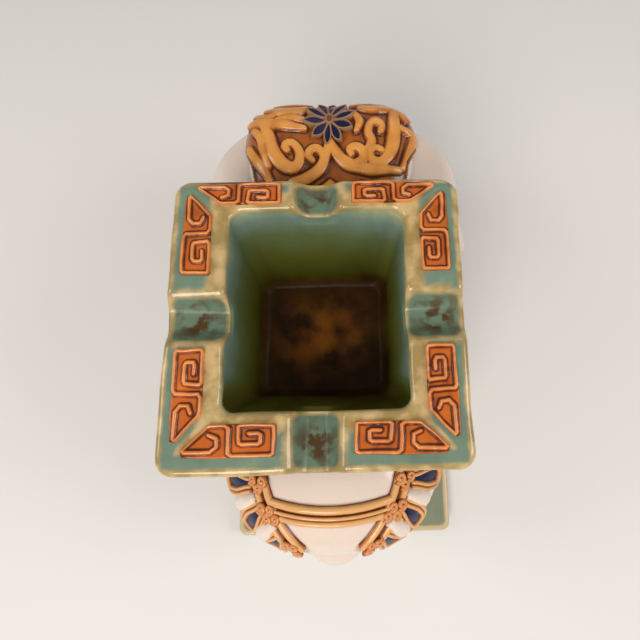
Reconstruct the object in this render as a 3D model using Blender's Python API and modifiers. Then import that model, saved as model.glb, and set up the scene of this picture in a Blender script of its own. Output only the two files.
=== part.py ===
import math

import bmesh
import bpy
import numpy as np
from mathutils import Matrix, Vector

for old in list(bpy.data.objects):
    bpy.data.objects.remove(old, do_unlink=True)

# Fits
SEAT_GAP = 0.0003  # between any two pieces that are luted together
SPRIG_THICK = 0.0025  # straps, bands and lappets
PETAL_THICK = 0.0038
CLOTH_THICK = 0.003  # cap and saddle cloth
WALL = 0.007  # cast wall of the torso

# Legs
LEG_X = 0.031
LEG_FRONT_Y = 0.056
LEG_REAR_Y = -0.068
LEG_RADIUS = 0.0205
LEG_TOP_GAP = 0.003
LEG_PROFILE = ((1.02, 0.0), (1.10, 0.12), (1.02, 0.3), (0.98, 0.6), (0.95, 1.0))  # radius share, height share

# Base slab
BASE_MARGIN = 0.0245  # past the legs at the sides
BASE_WIDTH = 2 * (LEG_X + LEG_RADIUS + BASE_MARGIN)
BASE_REAR = -0.120
BASE_FRONT = 0.150
BASE_THICK = 0.011
BASE_CORNER = 0.006
BASE_EDGE = 0.0015

# Torso
TORSO_HALF_WIDTH = 0.058
TORSO_REAR = -0.1137  # tip of the tail root
RUMP_REAR = -0.1065  # the barrel alone would end here
TORSO_FRONT = 0.092
TORSO_WAIST_REAR = -0.030  # the barrel is full between these two stations
TORSO_WAIST_FRONT = 0.020
TORSO_MID_Z = 0.104
TORSO_POWER = 2.2
BACK_RISE = 0.050
BELLY_DROP = 0.046
RUMP_LIFT = 0.010  # the tail root lies this much above the middle line
LOBE_START = -0.095  # the tail root grows out of the rump
LOBE_HALF_WIDTH = 0.017
LOBE_RISE = 0.012
LOBE_DROP = 0.030
VENT_RADIUS = 0.005

# Head
HEAD_REAR = 0.062
HEAD_FRONT = 0.1375
HEAD_MID_Y = 0.103
HEAD_HALF_WIDTH = 0.048
HEAD_MID_Z = 0.114
HEAD_RISE = 0.0395
HEAD_DROP = 0.042
DOME_POWER = 4.0  # flat crown above, round jaw below
JAW_POWER = 2.4
DOME_DIP = 0.0045
CAP_EDGE_Z = 0.131
CAP_SIDE = ((0.750, 0.060), (0.854, 0.0915), (1.052, 0.115), (1.208, 0.160))  # share of the half width, y
RIB_WIDTH = 0.0042
RIB_HEIGHT = 0.0018
RIBS = (  # main scrolls of the cap, right half
    ((0.0300, 0.116), (0.0312, 0.104), (0.0285, 0.094), (0.0225, 0.089), (0.0172, 0.0925), (0.0190, 0.0975)),
    ((0.0410, 0.1120), (0.0385, 0.1030), (0.0365, 0.0930)),
    ((0.0190, 0.1235), (0.0280, 0.1200), (0.0370, 0.1205)),
    ((0.0030, 0.0920), (0.0090, 0.0865), (0.0165, 0.0830), (0.0240, 0.0825)),
)
FLOWER_RADIUS = 0.0155
FLOWER_Y = 0.112
FLOWER_THICK = 0.0022
FLOWER_PETALS = 10
FLOWER_TURN = math.radians(7)
EYE_RADIUS = 0.0045
EYE_X = 0.0345
EYE_RISE = 0.004
EYE_SINK = 0.001

# Trunk, tusks and tail: forward, up and radius share at each point
TRUNK_ROOT_RADIUS = 0.021
TRUNK_TIP_RADIUS = 0.0085
TRUNK_ROOT_DROP = 0.008
TRUNK_UPPER = ((-0.024, 0.004, 1.0), (-0.004, -0.006, 1.0), (0.001, -0.035, 0.82), (-0.004, -0.066, 0.62))
TRUNK_LOWER = ((-0.012, 0.004, 1.05), (-0.006, 0.001, 0.85), (0.001, 0.005, 0.75), (0.002, 0.012, 0.70))
TUSK_RADIUS = 0.0052
TUSK_X = (0.0200, 0.0255, 0.0275, 0.0270)
TUSK_PATH = ((-0.020, -0.024, 1.0), (-0.010, -0.038, 1.0), (0.000, -0.050, 0.8), (0.009, -0.051, 0.35))
TAIL_RADIUS = 0.0048
TAIL_ROOT_DROP = 0.006
TAIL_PATH = (
    (0.010, 0.000, 1.3), (0.002, -0.008, 1.0), (0.003, -0.024, 1.0),
    (0.010, -0.042, 0.9), (0.014, -0.056, 1.3), (0.013, -0.070, 0.4),
)

# Ears
EAR_THICK = 0.006
EAR_TOP_Z = 0.139
EAR_DROP = 0.070
EAR_SPREAD = 0.0235  # past the side of the head
EAR_TUCK = 0.007  # the root lies this far inside the head
EAR_FLARE = 0.004
EAR_FRONT_Y = 0.118
EAR_LEAN = 0.020
EAR_CHORD = 0.050
EAR_ROWS, EAR_COLUMNS = 12, 8

# Tray
TRAY_SIDE = 0.128
TRAY_X = -0.004
RIM_LIFT = 0.026  # rim above the back
RIM_TOP = TORSO_MID_Z + BACK_RISE + RIM_LIFT
RIM_THICK = 0.009
RIM_CORNER = 0.007
RIM_EDGE = 0.0018
RIM_UNDERCUT = 0.004
MOUTH_X = 0.0388  # half sizes of the mouth and of the floor
MOUTH_Y = 0.0444
MOUTH_SHIFT_Y = 0.0047
FLOOR_X = 0.032
FLOOR_Y = 0.030
FLOOR_EDGE = 0.003
BOWL_SINK = 0.019  # bowl floor below the back
BOWL_DEPTH = RIM_LIFT + BOWL_SINK
BOWL_WALL = 0.005
FLOOR_THICK = 0.006
REST_RADIUS = 0.0094
REST_DEPTH = 0.0066
REST_SLOPE = math.radians(6)
REST_REACH = 0.045

# Greek key: inset from the edge, depth and shift along the side, for each row of the border
KEY_NEAR = (0.0065, 0.0137, 0.0)
KEY_SIDE_NEAR = (0.0052, 0.0132, 0.0026)
KEY_SIDE_FAR = (0.0052, 0.0132, -0.0034)
KEY_FAR = (0.0018, 0.0106, 0.0)
KEY_GROOVE = 0.0009
KEY_TIP, KEY_TRI, KEY_SQUARE, KEY_END = 0.0106, 0.0293, 0.0306, 0.0484
KEY_SLANT = 0.81  # rise over run of the slanting edge
KEY_HEIGHT = 0.0016

# Saddle cloth and crupper
SADDLE_HALF_LENGTH = 0.052
SADDLE_HEM_Z = 0.086
STRAP_WIDTH = 0.0085
STRAP_PATH = (
    (0.0350, -0.0555), (0.0336, -0.0660), (0.0312, -0.0745), (0.0280, -0.0820),
    (0.0243, -0.0890), (0.0202, -0.0950), (0.0150, -0.1008),
)
BAND_WIDTH = 0.0092
BAND_Y = -0.0844
BAND_SAG = 5.1  # y grows by this much times x squared
BAND_REACH = 0.0275
LAPPET_RADIUS = 0.0070
LAPPET_LENGTH = 0.0180
PETAL_RADIUS = 0.0042
PETAL_LENGTH = 0.0110
TONGUE_ROOT = 0.006
LAPPETS = (  # name, x, y and turn in degrees
    ("lappet_1", 0.0415, -0.0700, 6), ("lappet_2", 0.0345, -0.0845, 36), ("lappet_3", 0.0252, -0.0962, 55),
)
PETALS = (("petal_1", 0.0385, -0.0778, 20), ("petal_2", 0.0290, -0.0900, 44))

parts = bpy.data.collections.new("elephant_ashtray")
cutters = bpy.data.collections.new("cutters")
for made in (parts, cutters):
    bpy.context.scene.collection.children.link(made)


def glaze(name, colour, roughness=0.15):
    material = bpy.data.materials.new(name)
    material.use_nodes = True
    shader = material.node_tree.nodes["Principled BSDF"]
    shader.inputs["Base Color"].default_value = (*colour, 1)
    shader.inputs["Roughness"].default_value = roughness
    return material


WHITE = (0.78, 0.66, 0.50)
GOLD = (0.55, 0.22, 0.04)
GREEN = (0.14, 0.22, 0.13)
BROWN = (0.42, 0.11, 0.02)
NAVY = (0.012, 0.012, 0.06)


def part(name, mesh, colour):
    obj = bpy.data.objects.new(name, mesh)
    parts.objects.link(obj)
    mesh.materials.append(glaze(name + "_glaze", colour))
    return obj


def cutter(name, mesh):
    obj = bpy.data.objects.new("cut_" + name, mesh)
    cutters.objects.link(obj)
    obj.hide_render = True
    obj.display_type = "WIRE"
    return obj


def boolean(obj, other, operation="DIFFERENCE"):
    made = obj.modifiers.new(operation.lower() + "_" + other.name, "BOOLEAN")
    made.operation = operation
    made.solver = "EXACT"
    made.object = other
    return obj


def grown(name, mesh, by):
    obj = cutter(name, mesh)
    made = obj.modifiers.new("grow", "DISPLACE")
    made.mid_level = 0
    made.strength = by
    return obj


def loft(name, rings):
    count = len(rings[0])
    mesh = bmesh.new()
    rows = [[mesh.verts.new(p) for p in ring] for ring in rings]
    for low, high in zip(rows, rows[1:]):
        for i in range(count):
            j = (i + 1) % count
            mesh.faces.new((low[i], low[j], high[j], high[i]))
    for row in (rows[0], rows[-1]):
        middle = mesh.verts.new(sum((v.co for v in row), Vector()) / count)
        for i in range(count):
            mesh.faces.new((row[i], row[(i + 1) % count], middle))
    bmesh.ops.recalc_face_normals(mesh, faces=mesh.faces)
    data = bpy.data.meshes.new(name)
    mesh.to_mesh(data)
    mesh.free()
    return data


def prism(name, outline, low, high, place=None):
    rings = [[(x, y, z) for x, y in outline] for z in (low, high)]
    data = loft(name, rings)
    if place is not None:
        data.transform(place)
    return data


def circle(radius, count, x=0.0, y=0.0):
    angles = np.linspace(0, 2 * math.pi, count, False)
    return [(x + radius * math.cos(a), y + radius * math.sin(a)) for a in angles]


def fall(u, p, q):
    return max(0.0, 1 - abs(u) ** p) ** (1 / q)


def share(value, low, high):
    return min(1.0, max(0.0, (value - low) / (high - low)))


def blend(a, b):
    return (a**4 + b**4) ** 0.25


def oval(y, half, top, low, middle, power, low_power, count):
    ring = []
    for i in range(count):
        a = 2 * math.pi * i / count
        c, s = math.cos(a), math.sin(a)
        p = power if s > 0 else low_power
        r = (abs(c) ** p + abs(s) ** p) ** (-1 / p)
        ring.append((half * c * r, y, middle + (top if s > 0 else low) * s * r))
    return ring


def stations(low, high, count):
    middle, reach = (low + high) / 2, (high - low) / 2
    return [middle - reach * math.cos(math.pi * (i + 0.4) / (count - 0.2)) for i in range(count)]


# Torso: full barrel, drawn in to the neck, with the tail root growing out of the rump
def torso_size(y):
    rear = share(y, TORSO_WAIST_REAR, RUMP_REAR)
    front = share(y, TORSO_WAIST_FRONT, TORSO_FRONT)
    neck = fall(front, 2.6, 2)
    wide, tall = TORSO_HALF_WIDTH * fall(rear, 4, 1.6) * neck, fall(rear, 4, 2.4) * neck
    lobe = fall(share(y, LOBE_START, TORSO_REAR), 2, 2) if y < TORSO_WAIST_REAR else 0.0
    middle = TORSO_MID_Z + RUMP_LIFT * (share(y, TORSO_WAIST_REAR, TORSO_REAR) ** 3 + front**2)
    rise, drop = blend(BACK_RISE * tall, LOBE_RISE * lobe), blend(BELLY_DROP * tall, LOBE_DROP * lobe)
    return blend(wide, LOBE_HALF_WIDTH * lobe), rise, drop, middle


def torso_top(x, y):
    half, rise, _, middle = torso_size(y)
    return middle + rise * fall(min(1, abs(x) / half), TORSO_POWER, TORSO_POWER)


def torso_normal(x, y):
    step = 1e-4
    along = Vector((2 * step, 0, torso_top(x + step, y) - torso_top(x - step, y)))
    across = Vector((0, 2 * step, torso_top(x, y + step) - torso_top(x, y - step)))
    return along.cross(across).normalized()


def torso_rings():
    rings = []
    for y in stations(TORSO_REAR, TORSO_FRONT, 22):
        half, rise, drop, middle = torso_size(y)
        rings.append(oval(y, half, rise, drop, middle, TORSO_POWER, TORSO_POWER, 32))
    return rings


def torso_grown(name, by):
    return grown(name, loft(name, torso_rings()), by)


torso = part("torso", loft("torso", torso_rings()), WHITE)
torso_gap = torso_grown("torso_gap", SEAT_GAP)
torso_skin = torso_grown("torso_skin", SEAT_GAP + SPRIG_THICK)
torso_cloth = torso_grown("torso_cloth", SEAT_GAP + CLOTH_THICK)
torso_petal = torso_grown("torso_petal", SEAT_GAP + PETAL_THICK)
torso_core = torso_grown("torso_core", -WALL)


# Tray: one closed section carried round a square, then cut by the four rests
def frame_ring(half_x, half_y, z, shift_y=0.0, corner=RIM_CORNER):
    ring = []
    for k, (sx, sy) in enumerate(((1, 1), (-1, 1), (-1, -1), (1, -1))):
        for i in range(4):
            a = math.pi / 2 * (k + i / 3)
            x = sx * (half_x - corner) + corner * math.cos(a)
            y = sy * (half_y - corner) + corner * math.sin(a)
            ring.append((TRAY_X + x, shift_y + y, z))
    return ring


half_side = TRAY_SIDE / 2
floor_top = RIM_TOP - BOWL_DEPTH
bowl_foot = floor_top - FLOOR_THICK
rim_low = RIM_TOP - RIM_THICK
neck_z = rim_low - BOWL_WALL


def bowl_rings(by):
    return [
        frame_ring(FLOOR_X + BOWL_WALL + by, FLOOR_Y + BOWL_WALL + by, bowl_foot - by),
        frame_ring(MOUTH_X + BOWL_WALL + by, MOUTH_Y + BOWL_WALL + by, neck_z, MOUTH_SHIFT_Y),
    ]


tray_rings = bowl_rings(0) + [
    frame_ring(half_side - RIM_UNDERCUT, half_side - RIM_UNDERCUT, rim_low),
    frame_ring(half_side, half_side, rim_low + RIM_THICK / 3),
    frame_ring(half_side, half_side, RIM_TOP - RIM_EDGE),
    frame_ring(half_side - RIM_EDGE, half_side - RIM_EDGE, RIM_TOP),
    frame_ring(MOUTH_X + RIM_EDGE, MOUTH_Y + RIM_EDGE, RIM_TOP, MOUTH_SHIFT_Y),
    frame_ring(MOUTH_X, MOUTH_Y, RIM_TOP - RIM_EDGE, MOUTH_SHIFT_Y),
    frame_ring(FLOOR_X, FLOOR_Y, floor_top + FLOOR_EDGE),
    frame_ring(FLOOR_X - FLOOR_EDGE, FLOOR_Y - FLOOR_EDGE, floor_top),
]
tray = part("ash_tray", loft("ash_tray", tray_rings), GREEN)
for side in range(4):
    groove = prism("rest", circle(REST_RADIUS, 24), -REST_REACH, REST_REACH)
    groove.transform(Matrix.Rotation(math.pi / 2 + REST_SLOPE, 4, "X"))
    groove.transform(Matrix.Translation((0, half_side, RIM_TOP + REST_RADIUS - REST_DEPTH)))
    groove.transform(Matrix.Translation((TRAY_X, 0, 0)) @ Matrix.Rotation(side * math.pi / 2, 4, "Z"))
    boolean(tray, cutter(f"rest_{side}", groove))

well = cutter("well", loft("well", bowl_rings(SEAT_GAP)))
vent = cutter("vent", prism("vent", circle(VENT_RADIUS, 16), TORSO_MID_Z - BELLY_DROP - WALL, TORSO_MID_Z))
for tool in (torso_core, well, vent):
    boolean(torso, tool)


# Greek key sprigs: one flat band coils through the triangular key and on into the square one
def band_outline(path, width):
    path = [Vector(p) for p in path]
    left, right = [], []
    for i, point in enumerate(path):
        before = (point - path[i - 1]).normalized() if i else None
        after = (path[i + 1] - point).normalized() if i + 1 < len(path) else None
        one, two = before or after, after or before
        normal = (Vector((-one.y, one.x)) + Vector((-two.y, two.x))).normalized()
        reach = width / 2 / max(0.35, normal.dot(Vector((-one.y, one.x))))
        left.append(point + normal * reach)
        right.append(point - normal * reach)
    return left + right[::-1]


def key_path(inset, depth, shift):
    width = (depth - 2 * KEY_GROOVE) / 3
    pitch = width + KEY_GROOVE
    low, mid, high = (inset + width / 2 + k * pitch for k in range(3))
    tip = KEY_TIP + width / 2 * math.hypot(1, KEY_SLANT) / KEY_SLANT  # middle of the slanting band
    tri, end = KEY_TRI - width / 2, KEY_END - width / 2
    coil = KEY_SQUARE + width / 2 + pitch
    corner_b = inset + depth * 0.32  # where the slanting edge leaves the tip
    slant_mid, slant_high = tip + (mid - corner_b) / KEY_SLANT, tip + (high - corner_b) / KEY_SLANT
    path = [
        (tri - pitch, mid), (slant_mid, mid), (slant_high, high), (tri, high), (tri, low), (end, low),
        (end, high), (coil, high), (coil, mid), (end - pitch, mid),
    ]
    return [(a + shift, b) for a, b in path], width


def fret(name, row, place):
    path, width = key_path(*row)
    outline = []
    for a, b in band_outline(path, width):
        x, y = place(a - half_side, b - half_side)
        outline.append((x + TRAY_X, y))
    curve = bpy.data.curves.new(name, "CURVE")
    curve.dimensions = "2D"
    curve.fill_mode = "BOTH"
    curve.extrude = KEY_HEIGHT / 2
    line = curve.splines.new("POLY")
    line.points.add(len(outline) - 1)
    for point, (x, y) in zip(line.points, outline):
        point.co = (x, y, 0, 1)
    line.use_cyclic_u = True
    data = curve_mesh(name, curve)
    data.transform(Matrix.Translation((0, 0, RIM_TOP + SEAT_GAP + KEY_HEIGHT / 2)))
    part(name, data, BROWN)


def curve_mesh(name, curve):
    guide = bpy.data.objects.new(name + "_curve", curve)
    cutters.objects.link(guide)
    bpy.context.view_layer.update()
    data = bpy.data.meshes.new_from_object(guide.evaluated_get(bpy.context.evaluated_depsgraph_get()))
    bpy.data.objects.remove(guide)
    mesh = bmesh.new()
    mesh.from_mesh(data)
    bmesh.ops.remove_doubles(mesh, verts=mesh.verts, dist=1e-6)
    bmesh.ops.recalc_face_normals(mesh, faces=mesh.faces)
    mesh.to_mesh(data)
    mesh.free()
    data.materials.clear()
    return data


fret("fret_near_left", KEY_NEAR, lambda a, b: (a, b))
fret("fret_near_right", KEY_NEAR, lambda a, b: (-a, b))
fret("fret_left_near", KEY_SIDE_NEAR, lambda a, b: (b, a))
fret("fret_right_near", KEY_SIDE_NEAR, lambda a, b: (-b, a))
fret("fret_left_far", KEY_SIDE_FAR, lambda a, b: (b, -a))
fret("fret_right_far", KEY_SIDE_FAR, lambda a, b: (-b, -a))
fret("fret_far_left", KEY_FAR, lambda a, b: (a, -b))
fret("fret_far_right", KEY_FAR, lambda a, b: (-a, -b))


# Base slab
def slab_ring(by, z):
    ring = []
    reach = (BASE_FRONT - BASE_REAR) / 2
    for k, (sx, sy) in enumerate(((1, 1), (-1, 1), (-1, -1), (1, -1))):
        for i in range(5):
            a = math.pi / 2 * (k + i / 4)
            x = sx * (BASE_WIDTH / 2 - BASE_CORNER) + (BASE_CORNER - by) * math.cos(a)
            y = sy * (reach - BASE_CORNER) + (BASE_CORNER - by) * math.sin(a)
            ring.append((x, y + (BASE_FRONT + BASE_REAR) / 2, z))
    return ring


part("base_slab", loft("base_slab", [
    slab_ring(0, 0), slab_ring(0, BASE_THICK - BASE_EDGE), slab_ring(BASE_EDGE, BASE_THICK),
]), GREEN)


# Head with two domes
def head_rings():
    rings = []
    for y in stations(HEAD_REAR, HEAD_FRONT, 14):
        reach = (HEAD_FRONT if y > HEAD_MID_Y else HEAD_REAR) - HEAD_MID_Y
        u = (y - HEAD_MID_Y) / reach
        half, tall = HEAD_HALF_WIDTH * fall(u, 3.5, 2.5), fall(u, 2.6, 1.6)
        ring = oval(y, half, HEAD_RISE * tall, HEAD_DROP * tall, HEAD_MID_Z, DOME_POWER, JAW_POWER, 36)
        for i, (x, _, z) in enumerate(ring):
            if z > HEAD_MID_Z:
                ring[i] = (x, y, z - DOME_DIP * tall * math.exp(-((4 * x / HEAD_HALF_WIDTH) ** 2)))
        rings.append(ring)
    return rings


def head_grown(name, by):
    return grown(name, loft(name, head_rings()), by)


cap_out = SEAT_GAP + CLOTH_THICK
head = part("head", loft("head", head_rings()), WHITE)
head_gap = head_grown("head_gap", SEAT_GAP)
cap_mid = head_grown("cap_mid", SEAT_GAP + CLOTH_THICK / 2)
cap_skin = head_grown("cap_skin", cap_out)
cap_gap = head_grown("cap_gap", cap_out + SEAT_GAP)
rib_skin = head_grown("rib_skin", cap_out + RIB_HEIGHT)
flower_skin = head_grown("flower_skin", cap_out + SEAT_GAP + FLOWER_THICK)
boolean(head, torso_gap)


def mirrored(points, side):
    return [(side * x, y) for x, y in points][::side]


cap_side = [(wide * HEAD_HALF_WIDTH, y) for wide, y in CAP_SIDE]
cap_plan = cap_side + [(-x, y) for x, y in cap_side[::-1]]
cap = part("head_cap", prism("head_cap", cap_plan, CAP_EDGE_Z, RIM_TOP), GOLD)
boolean(cap, cap_skin, "INTERSECT")
boolean(cap, head_gap)
boolean(cap, torso_gap)
for number, path in enumerate(RIBS):
    for side in (-1, 1):
        outline = mirrored(band_outline(path, RIB_WIDTH), side)
        rib = cutter(f"rib_{number}_{side}", prism("rib", outline, CAP_EDGE_Z, RIM_TOP))
        boolean(rib, rib_skin, "INTERSECT")
        boolean(rib, cap_mid)
        boolean(cap, rib, "UNION")

petal_ring = []
for a in np.linspace(0, 2 * math.pi, FLOWER_PETALS * 8, False):
    r, turned = FLOWER_RADIUS * (0.80 + 0.20 * math.cos(FLOWER_PETALS * a)), a + FLOWER_TURN
    petal_ring.append((r * math.cos(turned), FLOWER_Y + r * math.sin(turned)))
flower = part("cap_flower", prism("cap_flower", petal_ring, HEAD_MID_Z, RIM_TOP), NAVY)
boolean(flower, flower_skin, "INTERSECT")
boolean(flower, cap_gap)

eye_y = HEAD_MID_Y + (HEAD_FRONT - HEAD_MID_Y) * fall(EYE_X / HEAD_HALF_WIDTH, 2.5, 3.5) - EYE_SINK
for side, name in ((-1, "eye_left"), (1, "eye_right")):
    ball = bmesh.new()
    bmesh.ops.create_uvsphere(ball, u_segments=12, v_segments=8, radius=EYE_RADIUS)
    data = bpy.data.meshes.new(name)
    ball.to_mesh(data)
    ball.free()
    data.transform(Matrix.Translation((side * EYE_X, eye_y, HEAD_MID_Z + EYE_RISE)))
    boolean(part(name, data, NAVY), head_gap)


# Legs: turned columns, fitted to the belly
def leg(name, x, y):
    foot, top = BASE_THICK + SEAT_GAP, SADDLE_HEM_Z - LEG_TOP_GAP
    rings = []
    for wide, t in LEG_PROFILE:
        z = foot + (top - foot) * t
        rings.append([(*point, z) for point in circle(LEG_RADIUS * wide, 24, x, y)])
    made = part(name, loft(name, rings), WHITE)
    boolean(made, torso_gap)
    boolean(made, head_gap)


leg("leg_front_left", -LEG_X, LEG_FRONT_Y)
leg("leg_front_right", LEG_X, LEG_FRONT_Y)
leg("leg_rear_left", -LEG_X, LEG_REAR_Y)
leg("leg_rear_right", LEG_X, LEG_REAR_Y)


# Trunk, tusks and tail: tapered rods
def rod(name, points, radii, colour, count=3):
    curve = bpy.data.curves.new(name, "CURVE")
    curve.dimensions = "3D"
    curve.bevel_depth = 1.0
    curve.bevel_resolution = 4
    curve.use_fill_caps = True
    curve.resolution_u = count
    line = curve.splines.new("NURBS")
    line.points.add(len(points) - 1)
    for point, place, radius in zip(line.points, points, radii):
        point.co = (*place, 1)
        point.radius = radius
    line.order_u = 4
    line.use_endpoint_u = True
    return part(name, curve_mesh(name, curve), colour)


trunk_root = HEAD_MID_Z - TRUNK_ROOT_DROP
trunk_foot = BASE_THICK + TRUNK_TIP_RADIUS + SEAT_GAP
trunk_points = [(0, HEAD_FRONT + y, trunk_root + z) for y, z, _ in TRUNK_UPPER]
trunk_points += [(0, HEAD_FRONT + y, trunk_foot + z) for y, z, _ in TRUNK_LOWER]
trunk_radii = [TRUNK_ROOT_RADIUS * r for _, _, r in TRUNK_UPPER]
trunk_radii += [TRUNK_TIP_RADIUS * r for _, _, r in TRUNK_LOWER]
trunk = rod("trunk", trunk_points, trunk_radii, WHITE)
boolean(trunk, head_gap)
trunk_gap = grown("trunk_gap", trunk.data, SEAT_GAP)

for side, name in ((-1, "tusk_left"), (1, "tusk_right")):
    points = [(side * x, HEAD_FRONT + y, HEAD_MID_Z + z) for x, (y, z, _) in zip(TUSK_X, TUSK_PATH)]
    tusk = rod(name, points, [TUSK_RADIUS * r for _, _, r in TUSK_PATH], WHITE)
    boolean(tusk, head_gap)
    boolean(tusk, trunk_gap)

tail_top = TORSO_MID_Z + RUMP_LIFT - TAIL_ROOT_DROP
tail_points = [(0, TORSO_REAR + y, tail_top + z) for y, z, _ in TAIL_PATH]
tail = rod("tail", tail_points, [TAIL_RADIUS * r for _, _, r in TAIL_PATH], WHITE)
boolean(tail, torso_gap)


# Ears: curved flaps, closed over the shoulders
def ear(name, side):
    mesh = bmesh.new()
    grid = []
    for j in range(EAR_ROWS + 1):
        v = j / EAR_ROWS
        bend = math.sin(min(1, 1.6 * v) * math.pi / 2)
        x = HEAD_HALF_WIDTH - EAR_TUCK + (EAR_SPREAD + EAR_TUCK) * bend
        z = EAR_TOP_Z - EAR_DROP * v**1.35
        front = EAR_FRONT_Y - EAR_LEAN * v
        chord = EAR_CHORD * math.sin(math.pi * min(1, 0.18 + 0.80 * v)) ** 0.7 + EAR_FLARE
        line = []
        for i in range(EAR_COLUMNS + 1):
            u = i / EAR_COLUMNS
            line.append(mesh.verts.new((side * (x + EAR_FLARE * u * bend), front - chord * u, z)))
        grid.append(line)
    for j in range(EAR_ROWS):
        for i in range(EAR_COLUMNS):
            mesh.faces.new((grid[j][i], grid[j][i + 1], grid[j + 1][i + 1], grid[j + 1][i]))
    data = bpy.data.meshes.new(name)
    mesh.to_mesh(data)
    mesh.free()
    made = part(name, data, WHITE)
    thick = made.modifiers.new("thick", "SOLIDIFY")
    thick.thickness = EAR_THICK
    thick.offset = 0
    for tool in (head_gap, torso_gap, cap_gap):
        boolean(made, tool)


ear("ear_left", -1)
ear("ear_right", 1)

# Saddle cloth under the tray
saddle_plan = [(sx * half_side, sy * SADDLE_HALF_LENGTH) for sx, sy in ((-1, -1), (1, -1), (1, 1), (-1, 1))]
saddle = part("saddle_cloth", prism("saddle_cloth", saddle_plan, SADDLE_HEM_Z, RIM_TOP), GOLD)
boolean(saddle, torso_cloth, "INTERSECT")
boolean(saddle, torso_gap)
boolean(saddle, well)

# Crupper: the two side straps and the cross band, laid out in plan
strap_cuts = []
for side, name in ((-1, "strap_left"), (1, "strap_right")):
    outline = mirrored(band_outline(STRAP_PATH, STRAP_WIDTH), side)
    strap = part(name, prism(name, outline, TORSO_MID_Z, RIM_TOP), GOLD)
    boolean(strap, torso_skin, "INTERSECT")
    boolean(strap, torso_gap)
    outline = mirrored(band_outline(STRAP_PATH, STRAP_WIDTH + 2 * SEAT_GAP), side)
    strap_cuts.append(cutter(name, prism(name + "_cut", outline, TORSO_MID_Z - SPRIG_THICK, RIM_TOP)))

band_path = [(x, BAND_Y + BAND_SAG * x**2) for x in np.linspace(-BAND_REACH, BAND_REACH, 13)]
band_ring = band_outline(band_path, BAND_WIDTH)
band = part("croup_band", prism("croup_band", band_ring, TORSO_MID_Z, RIM_TOP), GOLD)
boolean(band, torso_skin, "INTERSECT")
boolean(band, torso_gap)
for tool in strap_cuts:
    boolean(band, tool)


# Lappets: tongues that hang from the straps, cut square to the body where they lie
def tongue(radius, inner, outer):
    ring = [(-inner, -radius * 0.72), (outer * 0.35, -radius)]
    for a in np.linspace(-math.pi / 2, math.pi / 2, 9):
        ring.append((outer - radius + radius * math.cos(a), radius * math.sin(a)))
    return ring + [(outer * 0.35, radius), (-inner, radius * 0.72)]


def tongue_solid(name, radius, length, place, side, grow=0.0):
    outline = tongue(radius + grow, TONGUE_ROOT + grow, length + grow)
    data = prism(name, outline, -2 * TONGUE_ROOT - grow, 2 * TONGUE_ROOT + grow, place)
    data.transform(Matrix.Diagonal((side, 1, 1, 1)))
    if side < 0:
        data.flip_normals()
    return data


def tongue_place(x, y, turn):
    normal = torso_normal(x, y)
    hang = Vector((math.cos(turn), -math.sin(turn), 0))
    hang = (hang - normal * hang.dot(normal)).normalized()
    matrix = Matrix((hang, normal.cross(hang), normal)).transposed().to_4x4()
    matrix.translation = (x, y, torso_top(x, y))
    return matrix


for side, word, own in ((-1, "left", strap_cuts[0]), (1, "right", strap_cuts[1])):
    petal_cuts = []
    for name, x, y, turn in PETALS:
        place = tongue_place(x, y, math.radians(turn))
        grow = tongue_solid(name, PETAL_RADIUS, PETAL_LENGTH, place, side, SEAT_GAP)
        petal_cuts.append(cutter(f"{name}_{word}", grow))
        petal = part(f"{name}_{word}", tongue_solid(name, PETAL_RADIUS, PETAL_LENGTH, place, side), WHITE)
        boolean(petal, torso_petal, "INTERSECT")
        boolean(petal, torso_gap)
        boolean(petal, own)
    for name, x, y, turn in LAPPETS:
        place = tongue_place(x, y, math.radians(turn))
        lappet = part(f"{name}_{word}", tongue_solid(name, LAPPET_RADIUS, LAPPET_LENGTH, place, side), NAVY)
        boolean(lappet, torso_skin, "INTERSECT")
        boolean(lappet, torso_gap)
        boolean(lappet, own)
        for tool in petal_cuts:
            boolean(lappet, tool)
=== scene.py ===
import math
from types import SimpleNamespace

import bpy
import numpy as np
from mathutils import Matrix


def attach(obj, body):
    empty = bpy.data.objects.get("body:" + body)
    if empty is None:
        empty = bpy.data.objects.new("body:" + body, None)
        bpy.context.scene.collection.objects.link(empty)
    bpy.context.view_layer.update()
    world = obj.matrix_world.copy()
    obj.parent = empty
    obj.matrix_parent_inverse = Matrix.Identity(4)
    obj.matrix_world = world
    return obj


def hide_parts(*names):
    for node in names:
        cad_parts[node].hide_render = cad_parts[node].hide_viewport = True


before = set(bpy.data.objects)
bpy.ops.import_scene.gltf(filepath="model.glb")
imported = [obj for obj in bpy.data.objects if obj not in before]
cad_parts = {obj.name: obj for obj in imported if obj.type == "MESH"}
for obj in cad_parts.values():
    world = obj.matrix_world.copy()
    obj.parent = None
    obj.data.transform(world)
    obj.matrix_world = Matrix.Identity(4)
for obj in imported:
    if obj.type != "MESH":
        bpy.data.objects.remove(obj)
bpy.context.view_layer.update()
print("frame loaded:", len(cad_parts), "nodes")

mm = 0.001
fineness = 1.0  # share of the full mesh density
skyHeight, skyReach = 0.178, 0.12  # start and length of the rays that lay ornaments on the body


# Small functions that the forms share

def steps(count):
    return max(4, int(round(count * fineness)))


def circle(count):
    return np.linspace(0, 2 * math.pi, count, endpoint=False)


def share(value, low, high):
    return np.clip((value - low) / (high - low), 0, 1)


def rise(value, low, high):
    t = share(value, low, high)
    return t * t * (3 - 2 * t)


def fall(u, p, q):  # from 1 down to 0 at u = 1, as on a superellipse
    return np.clip(1 - np.abs(u) ** p, 0, None) ** (1 / q)


def rounded(gap, reach, least=0):  # quarter round from an edge inwards
    return np.sqrt(np.clip(1 - (1 - np.clip(gap / reach, 0, 1)) ** 2, least, 1))


def blend(a, b):
    return (a**3 + b**3) ** (1 / 3)


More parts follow.
